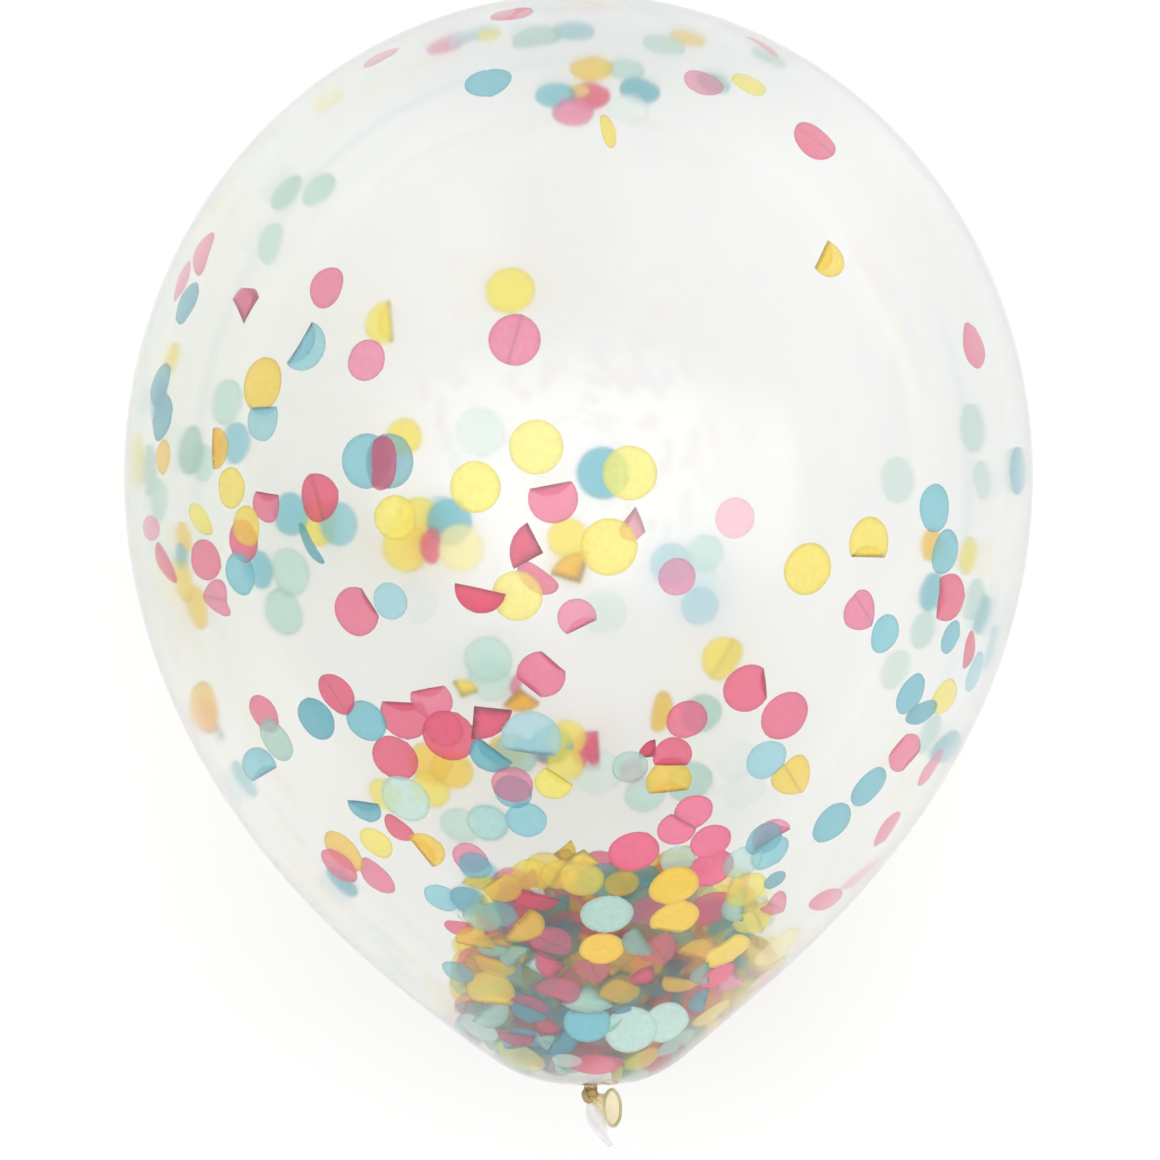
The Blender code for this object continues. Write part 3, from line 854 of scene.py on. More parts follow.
def grid_faces(rows: int, columns: int, wrap: bool) -> Array:
    """The four-sided faces of a grid of points, as indices into its rows.

    Args:
        rows: the number of rows of points.
        columns: the number of points in a row.
        wrap: whether each row closes into a ring.

    Returns:
        One row of four indices for each face.
    """
    down = np.arange(rows - 1)[:, None] * columns
    left = np.arange(columns if wrap else columns - 1)[None, :]
    right = (left + 1) % columns
    faces = np.stack([down + left, down + right, down + columns + right, down + columns + left], axis=-1)
    return faces.reshape(-1, 4)


def make_piece(name: str, points: Array, faces: Array, caps: tuple[Array, ...] = ()) -> bpy.types.Object:
    """A smooth mesh object at the origin, with its place in its mesh.

    Args:
        name: the object's name.
        points: its vertices, in metres in the frame.
        faces: its four-sided faces, as indices.
        caps: any further faces, each with its own number of corners.

    Returns:
        The object, linked to the scene.
    """
    mesh = bpy.data.meshes.new(name)
    loops = np.concatenate([faces.reshape(-1), *caps]) if caps else faces.reshape(-1)
    sizes = np.concatenate([np.full(len(faces), 4), [len(cap) for cap in caps]]).astype(np.int32)
    mesh.vertices.add(len(points))
    mesh.vertices.foreach_set("co", points.reshape(-1).astype(np.float32))
    mesh.loops.add(len(loops))
    mesh.loops.foreach_set("vertex_index", loops.astype(np.int32))
    mesh.polygons.add(len(sizes))
    mesh.polygons.foreach_set("loop_start", np.concatenate([[0], np.cumsum(sizes)[:-1]]).astype(np.int32))
    mesh.update(calc_edges=True)
    mesh.shade_smooth()
    piece = bpy.data.objects.new(name, mesh)
    bpy.context.scene.collection.objects.link(piece)
    return piece


def dress(
    piece: bpy.types.Object, finish: bpy.types.Material, wall: float = 0.0, offset: float = 0.0
) -> None:
    """Gives a piece its wall and its finish, and puts it on the balloon's body.

    Args:
        piece: the piece.
        finish: its material.
        wall: the thickness of its wall in metres, or 0 for none.
        offset: where the wall lies: -1 is inside the surface, and 0 is on both sides of it.
    """
    if wall:
        thick = piece.modifiers.new("wall", "SOLIDIFY")
        thick.thickness = wall
        thick.offset = offset
    piece.data.materials.append(finish)
    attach(piece, BODY)
    LOG.info("%s: %d vertices", piece.name, len(piece.data.vertices))


@dataclass
class LatexSkin:
    """The blown skin of the balloon, from the crown to the neck's end in the knot."""

    shape: BalloonShape
    crown_rings: int = 60
    shoulder_rings: int = 90
    neck_rings: int = 6
    ring_closing: float = 1.5
    spokes: int = 192
    finish: ClearLatex = field(default_factory=ClearLatex)
    neck_run: float = 0.0022
    pleats: int = 13
    pleat_depth: float = 0.16
    pleat_reach: float = 0.012
    press_softness: float = 0.0004

    def outline(self) -> tuple[Array, Array]:
        """The outline's places along the axis and its radii, from the crown to the neck's end.

        A quarter turn runs down the crown by its sine and cosine, a second one down the shoulder
        with its steps closing up towards the neck, and a few rings run straight along the neck.

        Returns:
            Distances along the axis, and radii.
        """
        shape = self.shape
        down = np.linspace(0.0, math.pi / 2, self.crown_rings + 1)[1:]
        crown_along = shape.crown * np.cos(down)
        closing = 1.0 - (1.0 - np.linspace(0.0, 1.0, self.shoulder_rings)[1:]) ** self.ring_closing
        share = np.sin(closing * math.acos(shape.neck_radius / shape.radius))
        neck_along = -shape.shoulder - np.linspace(0.0, self.neck_run, self.neck_rings)[1:]
        along = np.concatenate([crown_along, -shape.shoulder * share, neck_along])
        return along, np.maximum(shape.radius_at(along), shape.neck_radius)

    def build(self) -> None:
        """Makes the skin, and has it stand for the solid.

        The outline is turned about the axis. The pleats are a cosine round it that fades with the
        square of the radius, and the height is pressed softly to the floor where it rests.
        """
        shape = self.shape
        along, radii = self.outline()
        turn = full_turn(self.spokes)
        gather = np.exp(-((radii[:, None] / self.pleat_reach) ** 2)) * (along[:, None] < 0)
        pleat = gather * (np.cos(self.pleats * turn[None, :]) - 1.0) / 2
        radius = radii[:, None] * (1.0 + self.pleat_depth * pleat)
        x = shape.shift_at(along)[:, None] + radius * np.cos(turn)
        z = shape.axis_height + radius * np.sin(turn)
        z = (z + np.sqrt(z**2 + self.press_softness**2)) / 2
        y = np.broadcast_to(along[:, None], x.shape)
        tip = np.array([[0.0, shape.crown, shape.axis_height]])
        points = np.concatenate([np.stack([x, y, z], axis=-1).reshape(-1, 3), tip])
        first = np.arange(self.spokes)
        last_point = np.full(self.spokes, len(points) - 1)
        caps = np.stack([last_point, (first + 1) % self.spokes, first], axis=-1)
        faces = grid_faces(len(along), self.spokes, wrap=True)
        piece = make_piece("latex_skin", points, faces, tuple(caps))
        dress(piece, self.finish.material(), wall=shape.skin, offset=-1.0)
        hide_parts(NODE)


def ringed(path: Array, wide: Array, high: Array, radius: Array) -> Array:
    """Rings of points round a path.

    Each point is the path's, plus the wide direction times the radius and the cosine of its
    angle, plus the high one times the radius and the sine.

    Args:
        path: the middle of each ring.
        wide, high: unit directions square to each other, for each ring.
        radius: the radius at each point of each ring.

    Returns:
        The points, ring after ring.
    """
    turn = full_turn(radius.shape[1])
    aside = wide[:, None] * (np.cos(turn) * radius)[..., None]
    above = high[:, None] * (np.sin(turn) * radius)[..., None]
    return (path[:, None] + aside + above).reshape(-1, 3)


@dataclass
class TiedNeck:
    """The knot, the loose end of the neck with its rolled lip, and the thin tag."""

    shape: BalloonShape
    knot_length: float = 0.0050
    knot_drop: float = 0.0012
    knot_radius: float = 0.0028
    knot_steps: int = 120
    knot_squeeze: float = 0.9
    strand: float = 0.00085
    strand_sides: int = 24
    strand_folds: int = 6
    strand_fold_depth: float = 0.08
    strand_swell: float = 1.25
    strand_ripple: float = 0.12
    strand_ripples: int = 5
    mouth_reach: float = 0.0083
    mouth_radius: float = 0.00655
    mouth_heading: float = math.radians(61)
    mouth_facing: float = math.radians(95)
    mouth_lift: float = math.radians(27)
    wall: float = 0.00025
    funnel_rings: int = 24
    funnel_sides: int = 72
    funnel_root: float = 0.7
    funnel_folds: int = 9
    funnel_fold_depth: float = 0.16
    funnel_fold_fade: float = 1.5
    funnel_twist: float = 2.0
    lip: float = 0.00055
    lip_steps: int = 96
    lip_sides: int = 16
    lip_waves: tuple[tuple[float, int], ...] = ((0.06, 7), (0.04, 17))
    tag_length: float = 0.0178
    tag_root: float = 0.0025
    tag_width: float = 0.0060
    tag_swell: float = 0.93
    tag_tip: float = 0.0019
    tag_bow: float = 0.0013
    tag_tilt: float = 0.0010
    tag_ripple: float = 0.00022
    tag_ripple_across: float = 5.0
    tag_ripple_along: float = 9.0
    tag_heading: float = math.radians(22)
    tag_broad_at: float = 0.42
    tag_rows: int = 40
    tag_columns: int = 13
    knot_finish: ThickLatex = ThickLatex("knot_latex", (0.60, 0.42, 0.19), (0.28, 0.17, 0.07))
    neck_finish: ThickLatex = ThickLatex("neck_latex", (1.0, 0.86, 0.50), (0.97, 0.76, 0.34), 0.42)
    lip_finish: ThickLatex = ThickLatex("lip_latex", (0.74, 0.68, 0.40), (0.56, 0.50, 0.25), 0.8)
    tag_finish: ThickLatex = ThickLatex("tag_latex", (0.90, 0.87, 0.90), (0.78, 0.74, 0.78), 0.5, 300.0)
    mottling: GroupSheet = field(default_factory=mottled_latex)

    @staticmethod
    def heading(angle: float) -> Array:
        """A level direction, turned by this angle from straight away from the body towards +X."""
        return np.array([math.sin(angle), -math.cos(angle), 0.0])

    def centre(self) -> Array:
        """The middle of the knot."""
        shape = self.shape
        along = -shape.shoulder - self.knot_drop - self.knot_length / 2
        return np.array([shape.neck_offset, along, shape.axis_height])

    def add_part(self, name: str, points: Array, faces: Array, finish: ThickLatex, wall: float = 0.0) -> None:
        """Makes one part of the neck with its finish, and its wall where it has one."""
        dress(make_piece(name, points, faces), finish.material(self.mottling), wall)

    def add_tube(self, name: str, path: Array, radius: Array, finish: ThickLatex) -> None:
        """Makes a tube carried along a path that closes on itself.

        At each point of the path two directions square to it are found, and a ring is drawn in
        them. The last ring joins the first.

        Args:
            name: the piece's name.
            path: the middle line's points.
            radius: the tube's radius at each point of each ring.
            finish: its finish.
        """
        ahead = unit(np.roll(path, -1, axis=0) - np.roll(path, 1, axis=0))
        side = unit(np.cross(ahead, path - path.mean(axis=0)))
        points = ringed(path, side, np.cross(side, ahead), radius)
        faces = grid_faces(len(path) + 1, radius.shape[1], wrap=True) % len(points)
        self.add_part(name, points, faces, finish)

    def build_knot(self) -> None:
        """Makes the knot: the neck tied in an overhand knot, drawn tight.

        Its path is the trefoil's: sin t + 2 sin 2t, cos t - 2 cos 2t and -sin 3t, squeezed into
        the knot's width and length, with lengthwise folds round the tube.
        """
        turn = full_turn(self.knot_steps)
        room = self.knot_radius - self.strand
        length = (self.knot_length / 2 - self.strand) * self.knot_squeeze
        loop_x = (np.sin(turn) + 2 * np.sin(2 * turn)) / 3 * room
        loop_z = (np.cos(turn) - 2 * np.cos(2 * turn)) / 3 * room
        path = self.centre() + np.stack([loop_x, -np.sin(3 * turn) * length, loop_z], axis=-1)
        folds = 1.0 + self.strand_fold_depth * np.cos(self.strand_folds * full_turn(self.strand_sides))
        swell = self.strand_swell + self.strand_ripple * np.sin(self.strand_ripples * turn)
        self.add_tube("knot", path, np.outer(self.strand * swell, folds), self.knot_finish)

    def build_mouth(self) -> None:
        """Makes the funnel from the knot to the mouth, and the rolled lip round it.

        The funnel's radius grows with the square of the way along, and its lengthwise folds fade
        towards the lip. The lip's radius ripples by two sines.
        """
        start = self.centre()
        out = self.heading(self.mouth_heading)
        end = start + out * self.mouth_reach
        facing = self.heading(self.mouth_facing) * math.cos(self.mouth_lift) + UP * math.sin(self.mouth_lift)
        wide_x = unit(np.cross(facing, UP))
        wide_y = np.cross(facing, wide_x)
        small_x = unit(np.cross(out, UP))
        small_y = np.cross(out, small_x)
        share = np.linspace(0, 1, self.funnel_rings)[:, None]
        lip_radius = self.mouth_radius - self.lip
        root = self.shape.neck_radius * self.funnel_root
        wave = np.cos(self.funnel_folds * full_turn(self.funnel_sides)[None, :] + self.funnel_twist * share)
        folds = 1.0 + self.funnel_fold_depth * (1 - share) ** self.funnel_fold_fade * wave
        radius = (root + (lip_radius - root) * share**2) * folds
        axis_x = unit(small_x * (1 - share) + wide_x * share)
        axis_y = unit(small_y * (1 - share) + wide_y * share)
        points = ringed(start + (end - start) * share, axis_x, axis_y, radius)
        faces = grid_faces(self.funnel_rings, self.funnel_sides, wrap=True)
        self.add_part("neck_funnel", points, faces, self.neck_finish, self.wall)
        around = full_turn(self.lip_steps)[:, None]
        path = end + (wide_x * np.cos(around) + wide_y * np.sin(around)) * lip_radius
        ripple = sum(depth * np.sin(waves * around) for depth, waves in self.lip_waves)
        size = np.minimum(self.lip * (1 + ripple), self.lip) * np.ones((1, self.lip_sides))
        self.add_tube("rolled_lip", path, size, self.lip_finish)

    def build_tag(self) -> None:
        """Makes the tag: a strip that swells, narrows and tilts as it leaves the knot.

        Its width is a straight taper plus a swell, the square of a sine that peaks at the broad
        place. Its middle line bows sideways by a sine.
        """
        share = np.linspace(0, 1, self.tag_rows)[:, None]
        across = np.linspace(-1, 1, self.tag_columns)[None, :]
        along = self.heading(self.tag_heading)
        side = np.cross(along, UP)
        taper = self.tag_root + (self.tag_tip - self.tag_root) * share
        skew = -math.log(2) / math.log(self.tag_broad_at)
        broad = np.sin(math.pi * share**skew) ** 2
        width = taper + (self.tag_width - self.tag_root) * self.tag_swell * broad
        swell = np.sin(math.pi * share)
        sideways = self.tag_bow * swell + across * width / 2
        reach = self.tag_length * np.broadcast_to(share, sideways.shape)
        wave = np.sin(self.tag_ripple_across * across + self.tag_ripple_along * share)
        lift = (self.tag_tilt * across + self.tag_ripple * wave) * swell
        points = self.centre() + along * reach[..., None] + side * sideways[..., None] + UP * lift[..., None]
        faces = grid_faces(self.tag_rows, self.tag_columns, wrap=False)
        self.add_part("neck_tag", points.reshape(-1, 3), faces, self.tag_finish, self.wall)

    def build(self) -> None:
        """Makes the knot, the mouth and the tag."""
        self.build_knot()
        self.build_mouth()
        self.build_tag()


@dataclass
class DotBatch:
    """A number of tissue dots as whole arrays, one value for each dot."""

    hue: Array
    place: Array
    inward: Array
    aim: Array
    bend: Array
    tone: Array
    body: Array
    radius: Array

    def chosen(self, hue: Hue) -> "DotBatch":
        """The dots of one colour."""
        of_hue = self.hue == hue
        return DotBatch(*(getattr(self, name)[of_hue] for name in self.__dataclass_fields__))


@dataclass(frozen=True)
class Heap:
    """The heap of confetti at the neck's end, in pixels of the photograph unless said otherwise.

    left, right, top and bottom bound it in the picture. A share of its dots gathers in the core,
    whose middle and spread follow. downward and upward are the shapes of the draws that place
    the others down the picture and all of them above the lower wall. foot and full are how much
    of the room between the walls it takes at the top and at the bottom. A share of the dots
    clings under the upper wall, within a share of the width and length, hung this far inside it
    in metres. lean is how far the dots tip, and each spread is a middle and how far values
    stray from it. The last rows are how the four colours are shared out, in their usual order,
    and where the picture's cool, golden and pale parts start and how soon they are full.
    """

    count: int = 690
    left: float = 464.0
    right: float = 770.0
    top: float = 876.0
    bottom: float = 1068.0
    core_share: float = 0.58
    core_x: tuple[float, float] = (634.0, 68.0)
    core_y: tuple[float, float] = (966.0, 42.0)
    downward: tuple[float, float] = (1.3, 1.1)
    upward: tuple[float, float] = (0.9, 1.3)
    foot: float = 0.52
    full: float = 0.95
    cling_share: float = 0.18
    cling_width: float = 0.88
    cling_length: float = 0.86
    cling_depth: tuple[float, float] = (0.009, 0.024)
    cling_lean: float = 0.5
    lean: float = 0.55
    body: float = 0.25
    cling_body: float = 0.24
    curl_spread: tuple[float, float] = (8.0, 12.0)
    size_spread: tuple[float, float] = (0.90, 0.06)
    tones: tuple[float, float] = (0.04, 0.18)
    loose_tone: float = 0.10
    pale_tone: float = 0.3
    forms: tuple[Form, ...] = (Form.ROUND, CREASED, FLAP, HALF, QUARTER)
    form_shares: tuple[float, ...] = (0.28, 0.26, 0.16, 0.15, 0.15)
    usual_hues: tuple[float, ...] = (0.28, 0.37, 0.18, 0.17)
    cool_hues: tuple[float, ...] = (0.20, 0.22, 0.30, 0.28)
    gold_hues: tuple[float, ...] = (0.05, 0.81, 0.06, 0.08)
    pale_hues: tuple[float, ...] = (0.06, 0.68, 0.12, 0.14)
    cool_from: float = 975.0
    cool_run: float = 40.0
    gold_until: float = 915.0
    gold_run: float = 30.0
    pale_from: float = 700.0
    pale_run: float = 50.0


@dataclass
class Confetti:
    """The dots of tissue paper sealed inside the skin.

    A dot is a sheet of rows and columns of points, its ends a little blunt. The wave is a slight
    ripple in each sheet, and each play is how far the placed dots stray from what is asked.
    """

    shape: BalloonShape
    view: PhotoView
    heap: Heap = field(default_factory=Heap)
    radius: float = 0.0082
    rows: int = 11
    columns: int = 5
    blunt_ends: float = 0.10
    no_crease: float = 9.0
    sharp_fold: float = 100.0
    wave_depth: float = 0.03
    wave_across: float = 2.6
    wave_along: float = 3.1
    wave_by_tone: float = 40.0
    wave_by_dot: float = 1.7
    clearance: float = 0.00055
    layers_deep: float = 0.0026
    wall_body: float = 0.58
    lid_body: float = 0.90
    top_body: float = 0.36
    turn_play: float = 0.05
    fold_play: float = 3.0
    curl_play: float = 4.0
    size_play: float = 0.015
    lean_play: float = 0.018

    def flat_grid(self) -> tuple[Array, Array, Array]:
        """The rows' places along a flat dot of radius 1, their half widths, and the columns' shares."""
        angle = np.linspace(self.blunt_ends, math.pi - self.blunt_ends, self.rows)
        return -np.cos(angle), np.sin(angle), np.linspace(-1, 1, self.columns)

    def flat_dots(self, batch: DotBatch) -> Array:
        """The dots' points in their own frames: along the aim, across it, and inwards.

        A dot is cut into rows across the aim, and the sheet bends only from row to row, as paper
        does. The direction from one row to the next is the curl times the row's place, plus the
        fold's angle past the fold, and the rows lie at the running sum of that direction. The
        cross fold then turns one side about the middle line, and the spin turns the whole dot.

        Args:
            batch: the dots.

        Returns:
            An array of dots by rows by columns by 3, in metres.
        """
        place, half, across = self.flat_grid()
        step = np.diff(place)
        middle = (place[1:] + place[:-1]) / 2
        fold, fold_at, curl, cross_fold, _, spin, gate = batch.bend.T
        lean = np.where(fold < self.sharp_fold, -fold / 2, 0.0)
        folded = (middle > fold_at[:, None]) - gate[:, None] * (middle < -fold_at[:, None])
        way = np.radians(lean[:, None] + curl[:, None] * middle + fold[:, None] * folded)
        zero = np.zeros((len(fold), 1))
        along = np.concatenate([zero, np.cumsum(np.cos(way) * step, axis=1)], axis=1)[:, :, None]
        inwards = np.concatenate([zero, np.cumsum(np.sin(way) * step, axis=1)], axis=1)[:, :, None]
        phase = batch.tone[:, None, None] * self.wave_by_tone
        phase = phase + np.arange(len(fold))[:, None, None] * self.wave_by_dot
        phase = self.wave_across * across[None, None, :] + self.wave_along * place[None, :, None] + phase
        beside = half[None, :, None] * across[None, None, :] + np.zeros((len(fold), 1, 1))
        over = beside > 0
        second = np.radians(cross_fold)[:, None, None]
        rise = inwards + self.wave_depth * np.sin(phase) + np.where(over, beside * np.sin(second), 0.0)
        beside = np.where(over, beside * np.cos(second), beside)
        ahead = np.cos(np.radians(spin))[:, None, None]
        aside = np.sin(np.radians(spin))[:, None, None]
        grid = np.stack([along * ahead + beside * aside, beside * ahead - along * aside, rise], axis=-1)
        low = grid.min(axis=(1, 2), keepdims=True)
        high = grid.max(axis=(1, 2), keepdims=True)
        base = (low + high) / 2
        base[..., 2] = low[..., 2]
        return (grid - base) * batch.radius[:, None, None, None]

    def flat_places(self) -> Array:
        """Each point's place on a flat dot of radius 1: along it, across it, and 0."""
        place, half, across = self.flat_grid()
        along = np.broadcast_to(place[:, None], (self.rows, self.columns))
        return np.stack([along, half[:, None] * across, np.zeros_like(along)], axis=-1).reshape(-1, 3)

    def laid(self, batch: DotBatch) -> Array:
        """The dots' points in the frame, none of them outside the skin.

        Args:
            batch: the dots.

        Returns:
            An array of points, dot by dot.
        """
        flat = self.flat_dots(batch)
        inward = unit(batch.inward)
        aim = unit(batch.aim - inward * (batch.aim * inward).sum(axis=1, keepdims=True))
        axes = np.stack([aim, np.cross(inward, aim), inward], axis=1)
        points = batch.place[:, None, None, :] + np.einsum("drci,dij->drcj", flat, axes)
        return self.shape.kept_inside(points, self.clearance)

    def add_piece(self, name: str, batch: DotBatch, hue: Hue, paper: bpy.types.Material) -> None:
        """Makes one piece of all the dots of one colour in a batch.

        Args:
            name: the piece's name.
            batch: the dots.
            hue: the colour.
            paper: its material.
        """
        some = batch.chosen(hue)
        points = self.laid(some)
        count = len(points)
        faces = grid_faces(self.rows, self.columns, wrap=False)
        per_dot = self.rows * self.columns
        faces = (faces[None] + (np.arange(count) * per_dot)[:, None, None]).reshape(-1, 4)
        piece = make_piece(name, points.reshape(-1, 3), faces)
        folds = np.full((count, 3), self.no_crease)
        folds[:, 0] = np.where(some.bend[:, FOLD] > 0, some.bend[:, FOLD_AT], self.no_crease)
        folds[:, 1] = np.where(some.bend[:, CROSS_FOLD] > 0, 0.0, self.no_crease)
        looks = {
            "tone": np.repeat(some.tone, per_dot),
            "body": np.repeat(some.body, per_dot),
            "flat": np.tile(self.flat_places(), (count, 1)),
            "crease": np.repeat(folds, per_dot, axis=0),
        }
        for look, values in looks.items():
            kind, key = ("FLOAT", "value") if values.ndim == 1 else ("FLOAT_VECTOR", "vector")
            layer = piece.data.attributes.new(look, kind, "POINT")
            layer.data.foreach_set(key, values.reshape(-1).astype(np.float32))
        dress(piece, paper)

    def turned(self, dots: tuple[Dot, ...], flat: Array, aim: Array, slant: Array) -> Array:
        """The way that each dot faces.

        It is the sum of a level direction times the sine of the angle between the dot's plane and
        the picture's, and the upward or downward one times its cosine. The level direction is the
        wall's own, or for a dot with a slant the one across its long side.

        Args:
            dots: the dots.
            flat: the inward way of the wall at each dot.
            aim: the level direction that its long side runs in.
            slant: the angle of its form in degrees, or 0 for a dot that stays against the wall.

        Returns:
            The inward way that each dot faces.
        """
        chosen = np.array([np.nan if dot.facing is None else dot.facing for dot in dots])
        own = np.degrees(np.arccos(np.clip(np.abs(flat[:, 2]), 0.0, 1.0)))
        edge = slant > 0
        angle = np.radians(np.where(np.isnan(chosen), np.where(edge, slant, own), chosen))[:, None]
        level = np.stack([flat[:, 0], flat[:, 1], np.zeros(len(flat))], axis=-1)
        level /= np.maximum(np.linalg.norm(level, axis=1, keepdims=True), LEAST)
        across = np.stack([aim[:, 1], -aim[:, 0], np.zeros(len(aim))], axis=-1)
        across *= np.where((across * flat).sum(axis=1) > 0, 1.0, -1.0)[:, None]
        upright = UP * np.sign(flat[:, 2:]) * np.cos(angle)
        return np.where(edge[:, None], across, level) * np.sin(angle) + upright

    def placed(self, dots: tuple[Dot, ...], body: float, random: np.random.Generator) -> DotBatch:
        """The dots that the photograph shows one by one, laid against the wall.

        Args:
            dots: the dots, with their pixels.
            body: how solid they look, from 0 to 1.
            random: the source of their small lifts and leans.

        Returns:
            The batch.
        """
        count = len(dots)
        x = np.array([dot.x for dot in dots], float)
        y = np.array([dot.y for dot in dots], float)
        side = np.array([dot.wall.value for dot in dots])
        turn = np.radians([dot.turn for dot in dots]) + random.normal(0, self.turn_play, count)
        round_ones = np.array([dot.form is Form.ROUND for dot in dots])
        turn = np.where(round_ones, random.uniform(0, 2 * math.pi, count), turn)
        bend = np.array([astuple(dot.form.value) for dot in dots])
        bend[:, FOLD] += random.normal(0, self.fold_play, count) * (bend[:, FOLD] > 0)
        bend[:, CURL] += random.normal(0, self.curl_play, count)
        size = np.array([dot.size for dot in dots])
        radius = self.radius * size * random.normal(1.0, self.size_play, count)
        dealt = np.arange(count) * GOLDEN % 1.0
        layer = np.array([share if dot.layer is None else dot.layer for dot, share in zip(dots, dealt)])
        gap = self.clearance + self.layers_deep * layer
        aim = np.stack([np.sin(turn), np.cos(turn), np.zeros(count)], axis=-1)
        flat = -self.shape.outward(self.view.on_wall(self.shape, x, y, side, gap))
        inward = self.turned(dots, flat, aim, bend[:, SLANT])
        gap += radius * np.sqrt(np.maximum(1.0 - (inward * flat).sum(axis=1) ** 2, 0.0))
        return DotBatch(
            hue=np.array([dot.hue for dot in dots], dtype=object),
            place=self.view.on_wall(self.shape, x, y, side, gap),
            inward=inward + random.normal(0, self.lean_play, (count, 3)),
            aim=aim,
            bend=bend,
            tone=np.array([dot.tone for dot in dots]),
            body=np.array([body if dot.body is None else dot.body for dot in dots]),
            radius=radius,
        )

    def pile(self, random: np.random.Generator) -> DotBatch:
        """The heap at the neck's end: dots at all angles, piled up on the lower wall.

        The heap's height is a share of the way from the lower wall to the upper one, and it
        grows in step with the distance from the heap's top edge towards the neck. A share of
        the dots hangs a little inside the upper wall instead.

        Args:
            random: the source of their places.

        Returns:
            The batch.
        """
        heap = self.heap
        count = heap.count
        length = heap.bottom - heap.top
        middle = (heap.left + heap.right) / 2
        half = (heap.right - heap.left) / 2
        core = random.uniform(0, 1, count) < heap.core_share
        spread_y = heap.top + length * random.beta(*heap.downward, count)
        y = np.clip(np.where(core, random.normal(*heap.core_y, count), spread_y), heap.top, heap.bottom)
        core_x = random.normal(*heap.core_x, count)
        x = np.where(core, core_x, middle + half * random.uniform(-1, 1, count))
        x = np.clip(x, heap.left, heap.right)
        cling = random.uniform(0, 1, count) < heap.cling_share
        x = np.where(cling, middle + (x - middle) * heap.cling_width, x)
        y = np.where(cling, heap.bottom - (heap.bottom - y) * heap.cling_length, y)
        low, high = (
            self.view.on_wall(self.shape, x, y, np.full(count, wall.value), np.full(count, self.clearance))
            for wall in (Wall.LOWER, Wall.UPPER)
        )
        deepest = heap.foot + (heap.full - heap.foot) * (y - heap.top) / length
        place = low + (high - low) * (random.beta(*heap.upward, count) * deepest)[:, None]
        wall_way = -self.shape.outward(high)
        hung = high + wall_way * random.uniform(*heap.cling_depth, count)[:, None]
        place = np.where(cling[:, None], self.shape.kept_inside(hung, self.clearance), place)
        tip = random.normal(0, heap.lean, (count, 3))
        inward = np.where(cling[:, None], wall_way + heap.cling_lean * tip, UP + tip)
        turn = random.uniform(0, 2 * math.pi, count)
        picks = random.choice(len(heap.forms), count, p=heap.form_shares)
        bend = np.array([astuple(heap.forms[pick].value) for pick in picks])
        bend[:, CURL] += random.normal(*heap.curl_spread, count)
        cool = np.clip((y - heap.cool_from) / heap.cool_run, 0.0, 1.0) * (x < heap.core_x[0])
        gold = np.clip((heap.gold_until - y) / heap.gold_run, 0.0, 1.0)
        pale = np.clip((x - heap.pale_from) / heap.pale_run, 0.0, 1.0)
        shares = np.tile(heap.usual_hues, (count, 1))
        for part, hues in ((cool, heap.cool_hues), (gold, heap.gold_hues), (pale, heap.pale_hues)):
            shares = shares * (1 - part)[:, None] + np.outer(part, hues)
        picked = (random.uniform(0, 1, count)[:, None] > np.cumsum(shares, axis=1)).sum(axis=1)
        tone = random.uniform(*heap.tones, count) + pale * heap.pale_tone
        return DotBatch(
            hue=np.array(list(Hue), dtype=object)[np.minimum(picked, len(Hue) - 1)],
            place=place,
            inward=inward,
            aim=np.stack([np.sin(turn), np.cos(turn), np.zeros(count)], axis=-1),
            bend=bend,
            tone=tone + np.where(core, 0.0, heap.loose_tone),
            body=np.where(cling, heap.cling_body, heap.body),
            radius=self.radius * random.normal(*heap.size_spread, count),
        )

    def build(self) -> None:
        """Makes all the confetti, one piece for each colour in each place."""
        random = np.random.default_rng(SEED)
        pattern = TissuePattern().group()
        papers = {hue: TISSUES[hue].material(pattern) for hue in Hue}
        groups = {
            "crown": CROWN_DOTS,
            "left": LEFT_DOTS,
            "middle": MIDDLE_DOTS,
            "right": RIGHT_DOTS,
            "drift": DRIFT_DOTS,
            "lid": LID_DOTS,
            "pile_top": PILE_TOP_DOTS,
        }
        bodies = {"lid": self.lid_body, "pile_top": self.top_body}
        batches = {
            place: self.placed(dots, bodies.get(place, self.wall_body), random)
            for place, dots in groups.items()
        }
        batches["pile"] = self.pile(random)
        for place, batch in batches.items():
            for hue in Hue:
                if (batch.hue == hue).any():
                    self.add_piece(f"confetti_{hue.name.lower()}_{place}", batch, hue, papers[hue])


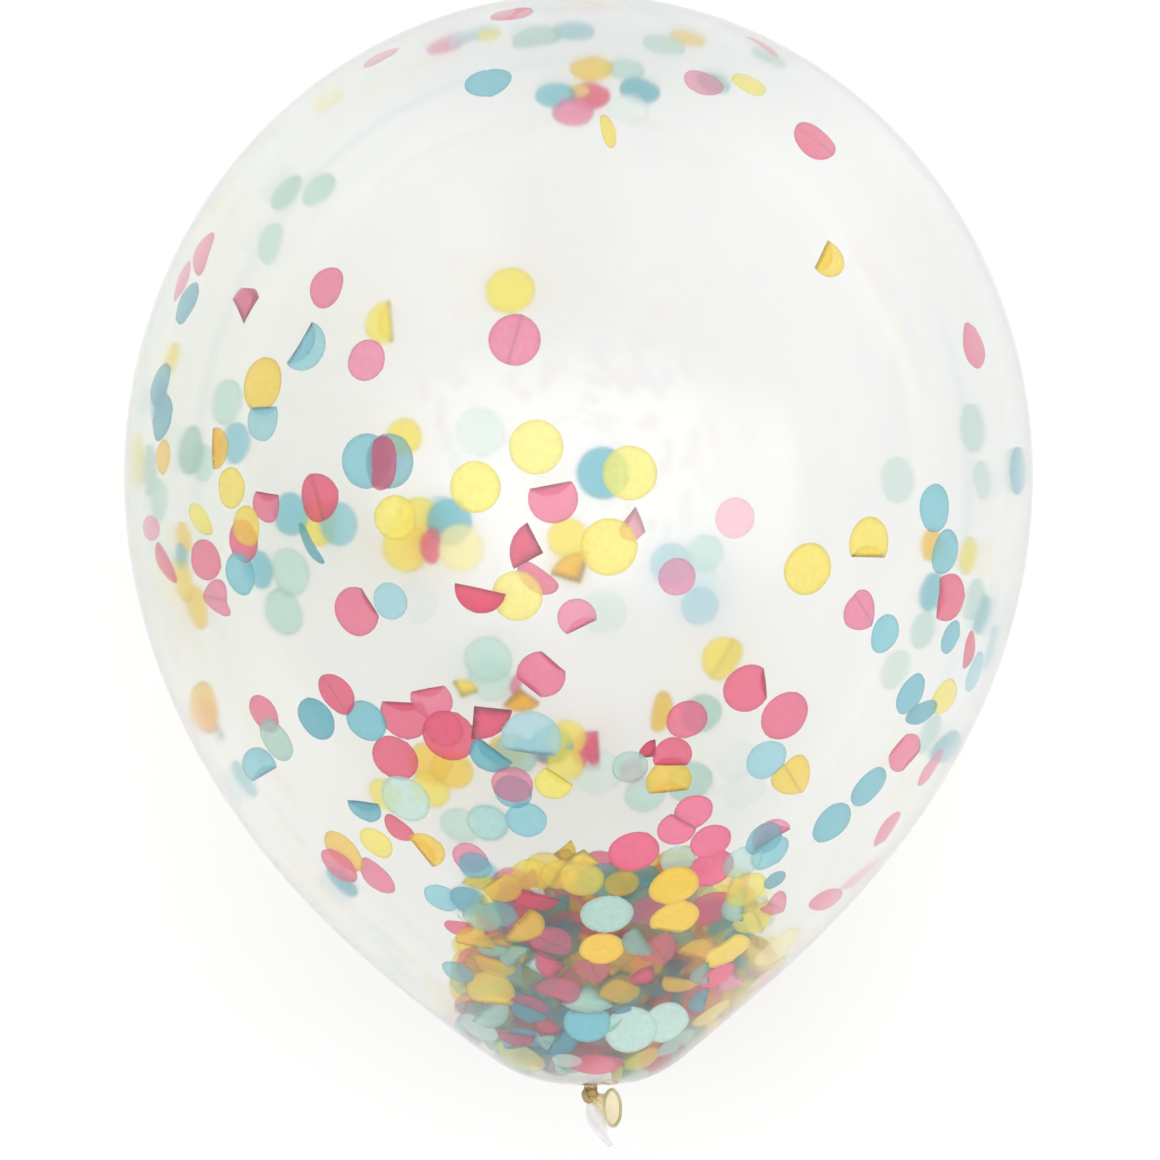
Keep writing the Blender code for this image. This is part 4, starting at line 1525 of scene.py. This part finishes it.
@dataclass(frozen=True)
class Studio:
    """A pale floor under a soft studio sky, which has one broad bright panel overhead.

    The panel's edges are slopes seen from the balloon: how far across or along its edge lies
    for each step up.
    """

    floor_size: float = 16.0
    floor_drop: float = 0.0002
    floor_roughness: float = 0.9
    floor_colour: Colour = (0.92, 0.92, 0.92)
    sky: Colour = (0.995, 1.0, 0.998)
    sky_strength: float = 0.78
    panel_strength: float = 1.25
    panel_left: float = -0.72
    panel_right: float = 1.45
    panel_near: float = -0.50
    panel_far: float = 0.38
    panel_softness: float = 0.24
    least_rise: float = 0.02

    def build(self) -> None:
        """Makes the floor and the sky, and sets how the picture is developed."""
        half = self.floor_size / 2
        corners = np.array([[-half, -half, 0], [half, -half, 0], [half, half, 0], [-half, half, 0]], float)
        floor = make_piece("floor", corners - UP * self.floor_drop, np.array([[0, 1, 2, 3]]))
        sheet = MaterialSheet("floor")
        looks = {"Base Color": self.floor_colour, "Roughness": self.floor_roughness}
        paint = sheet.add("ShaderNodeBsdfPrincipled", looks)
        floor.data.materials.append(sheet.finish(paint.outputs[0]))
        scene = bpy.context.scene
        scene.world = self.make_sky()
        scene.view_settings.view_transform = "Standard"
        scene.view_settings.look = "None"
        scene.cycles.transparent_max_bounces = 40
        scene.cycles.max_bounces = 14
        scene.cycles.diffuse_bounces = 2
        scene.cycles.glossy_bounces = 6
        scene.cycles.transmission_bounces = 14
        scene.cycles.adaptive_threshold = 0.02

    def make_sky(self) -> bpy.types.World:
        """The sky: an even pale light, and a soft-edged panel where both slopes are in range.

        Each edge is a smooth step in a slope, and the panel is the product of its four edges.

        Returns:
            The world.
        """
        world = bpy.data.worlds.new("soft_sky")
        world.use_nodes = True
        sheet = Sheet(world.node_tree)
        ways = sheet.add("ShaderNodeTexCoord").outputs["Generated"]
        ways = sheet.add("ShaderNodeSeparateXYZ", {0: ways}).outputs
        rise = sheet.maths("MAXIMUM", ways["Z"], self.least_rise)
        light = self.panel_strength
        soft = self.panel_softness
        for axis, low, high in (
            ("X", self.panel_left, self.panel_right),
            ("Y", self.panel_near, self.panel_far),
        ):
            slope = sheet.maths("DIVIDE", ways[axis], rise)
            for outer, inner in ((low - soft, low + soft), (high + soft, high - soft)):
                light = sheet.maths("MULTIPLY", sheet.ranged(slope, outer, inner), light)
        light = sheet.maths("ADD", light, self.sky_strength)
        shine = sheet.add("ShaderNodeBackground", {"Color": self.sky, "Strength": light})
        sheet.add("ShaderNodeOutputWorld", {"Surface": shine.outputs[0]})
        world.cycles.sampling_method = "NONE"
        return world


def main() -> None:
    """Builds the balloon and its studio."""
    logging.basicConfig(level=logging.INFO, format="%(message)s")
    shape = BalloonShape.from_frame()
    view = PhotoView()
    view.add_camera(shape)
    LatexSkin(shape).build()
    TiedNeck(shape).build()
    Confetti(shape, view).build()
    Studio().build()


if __name__ == "__main__":
    main()
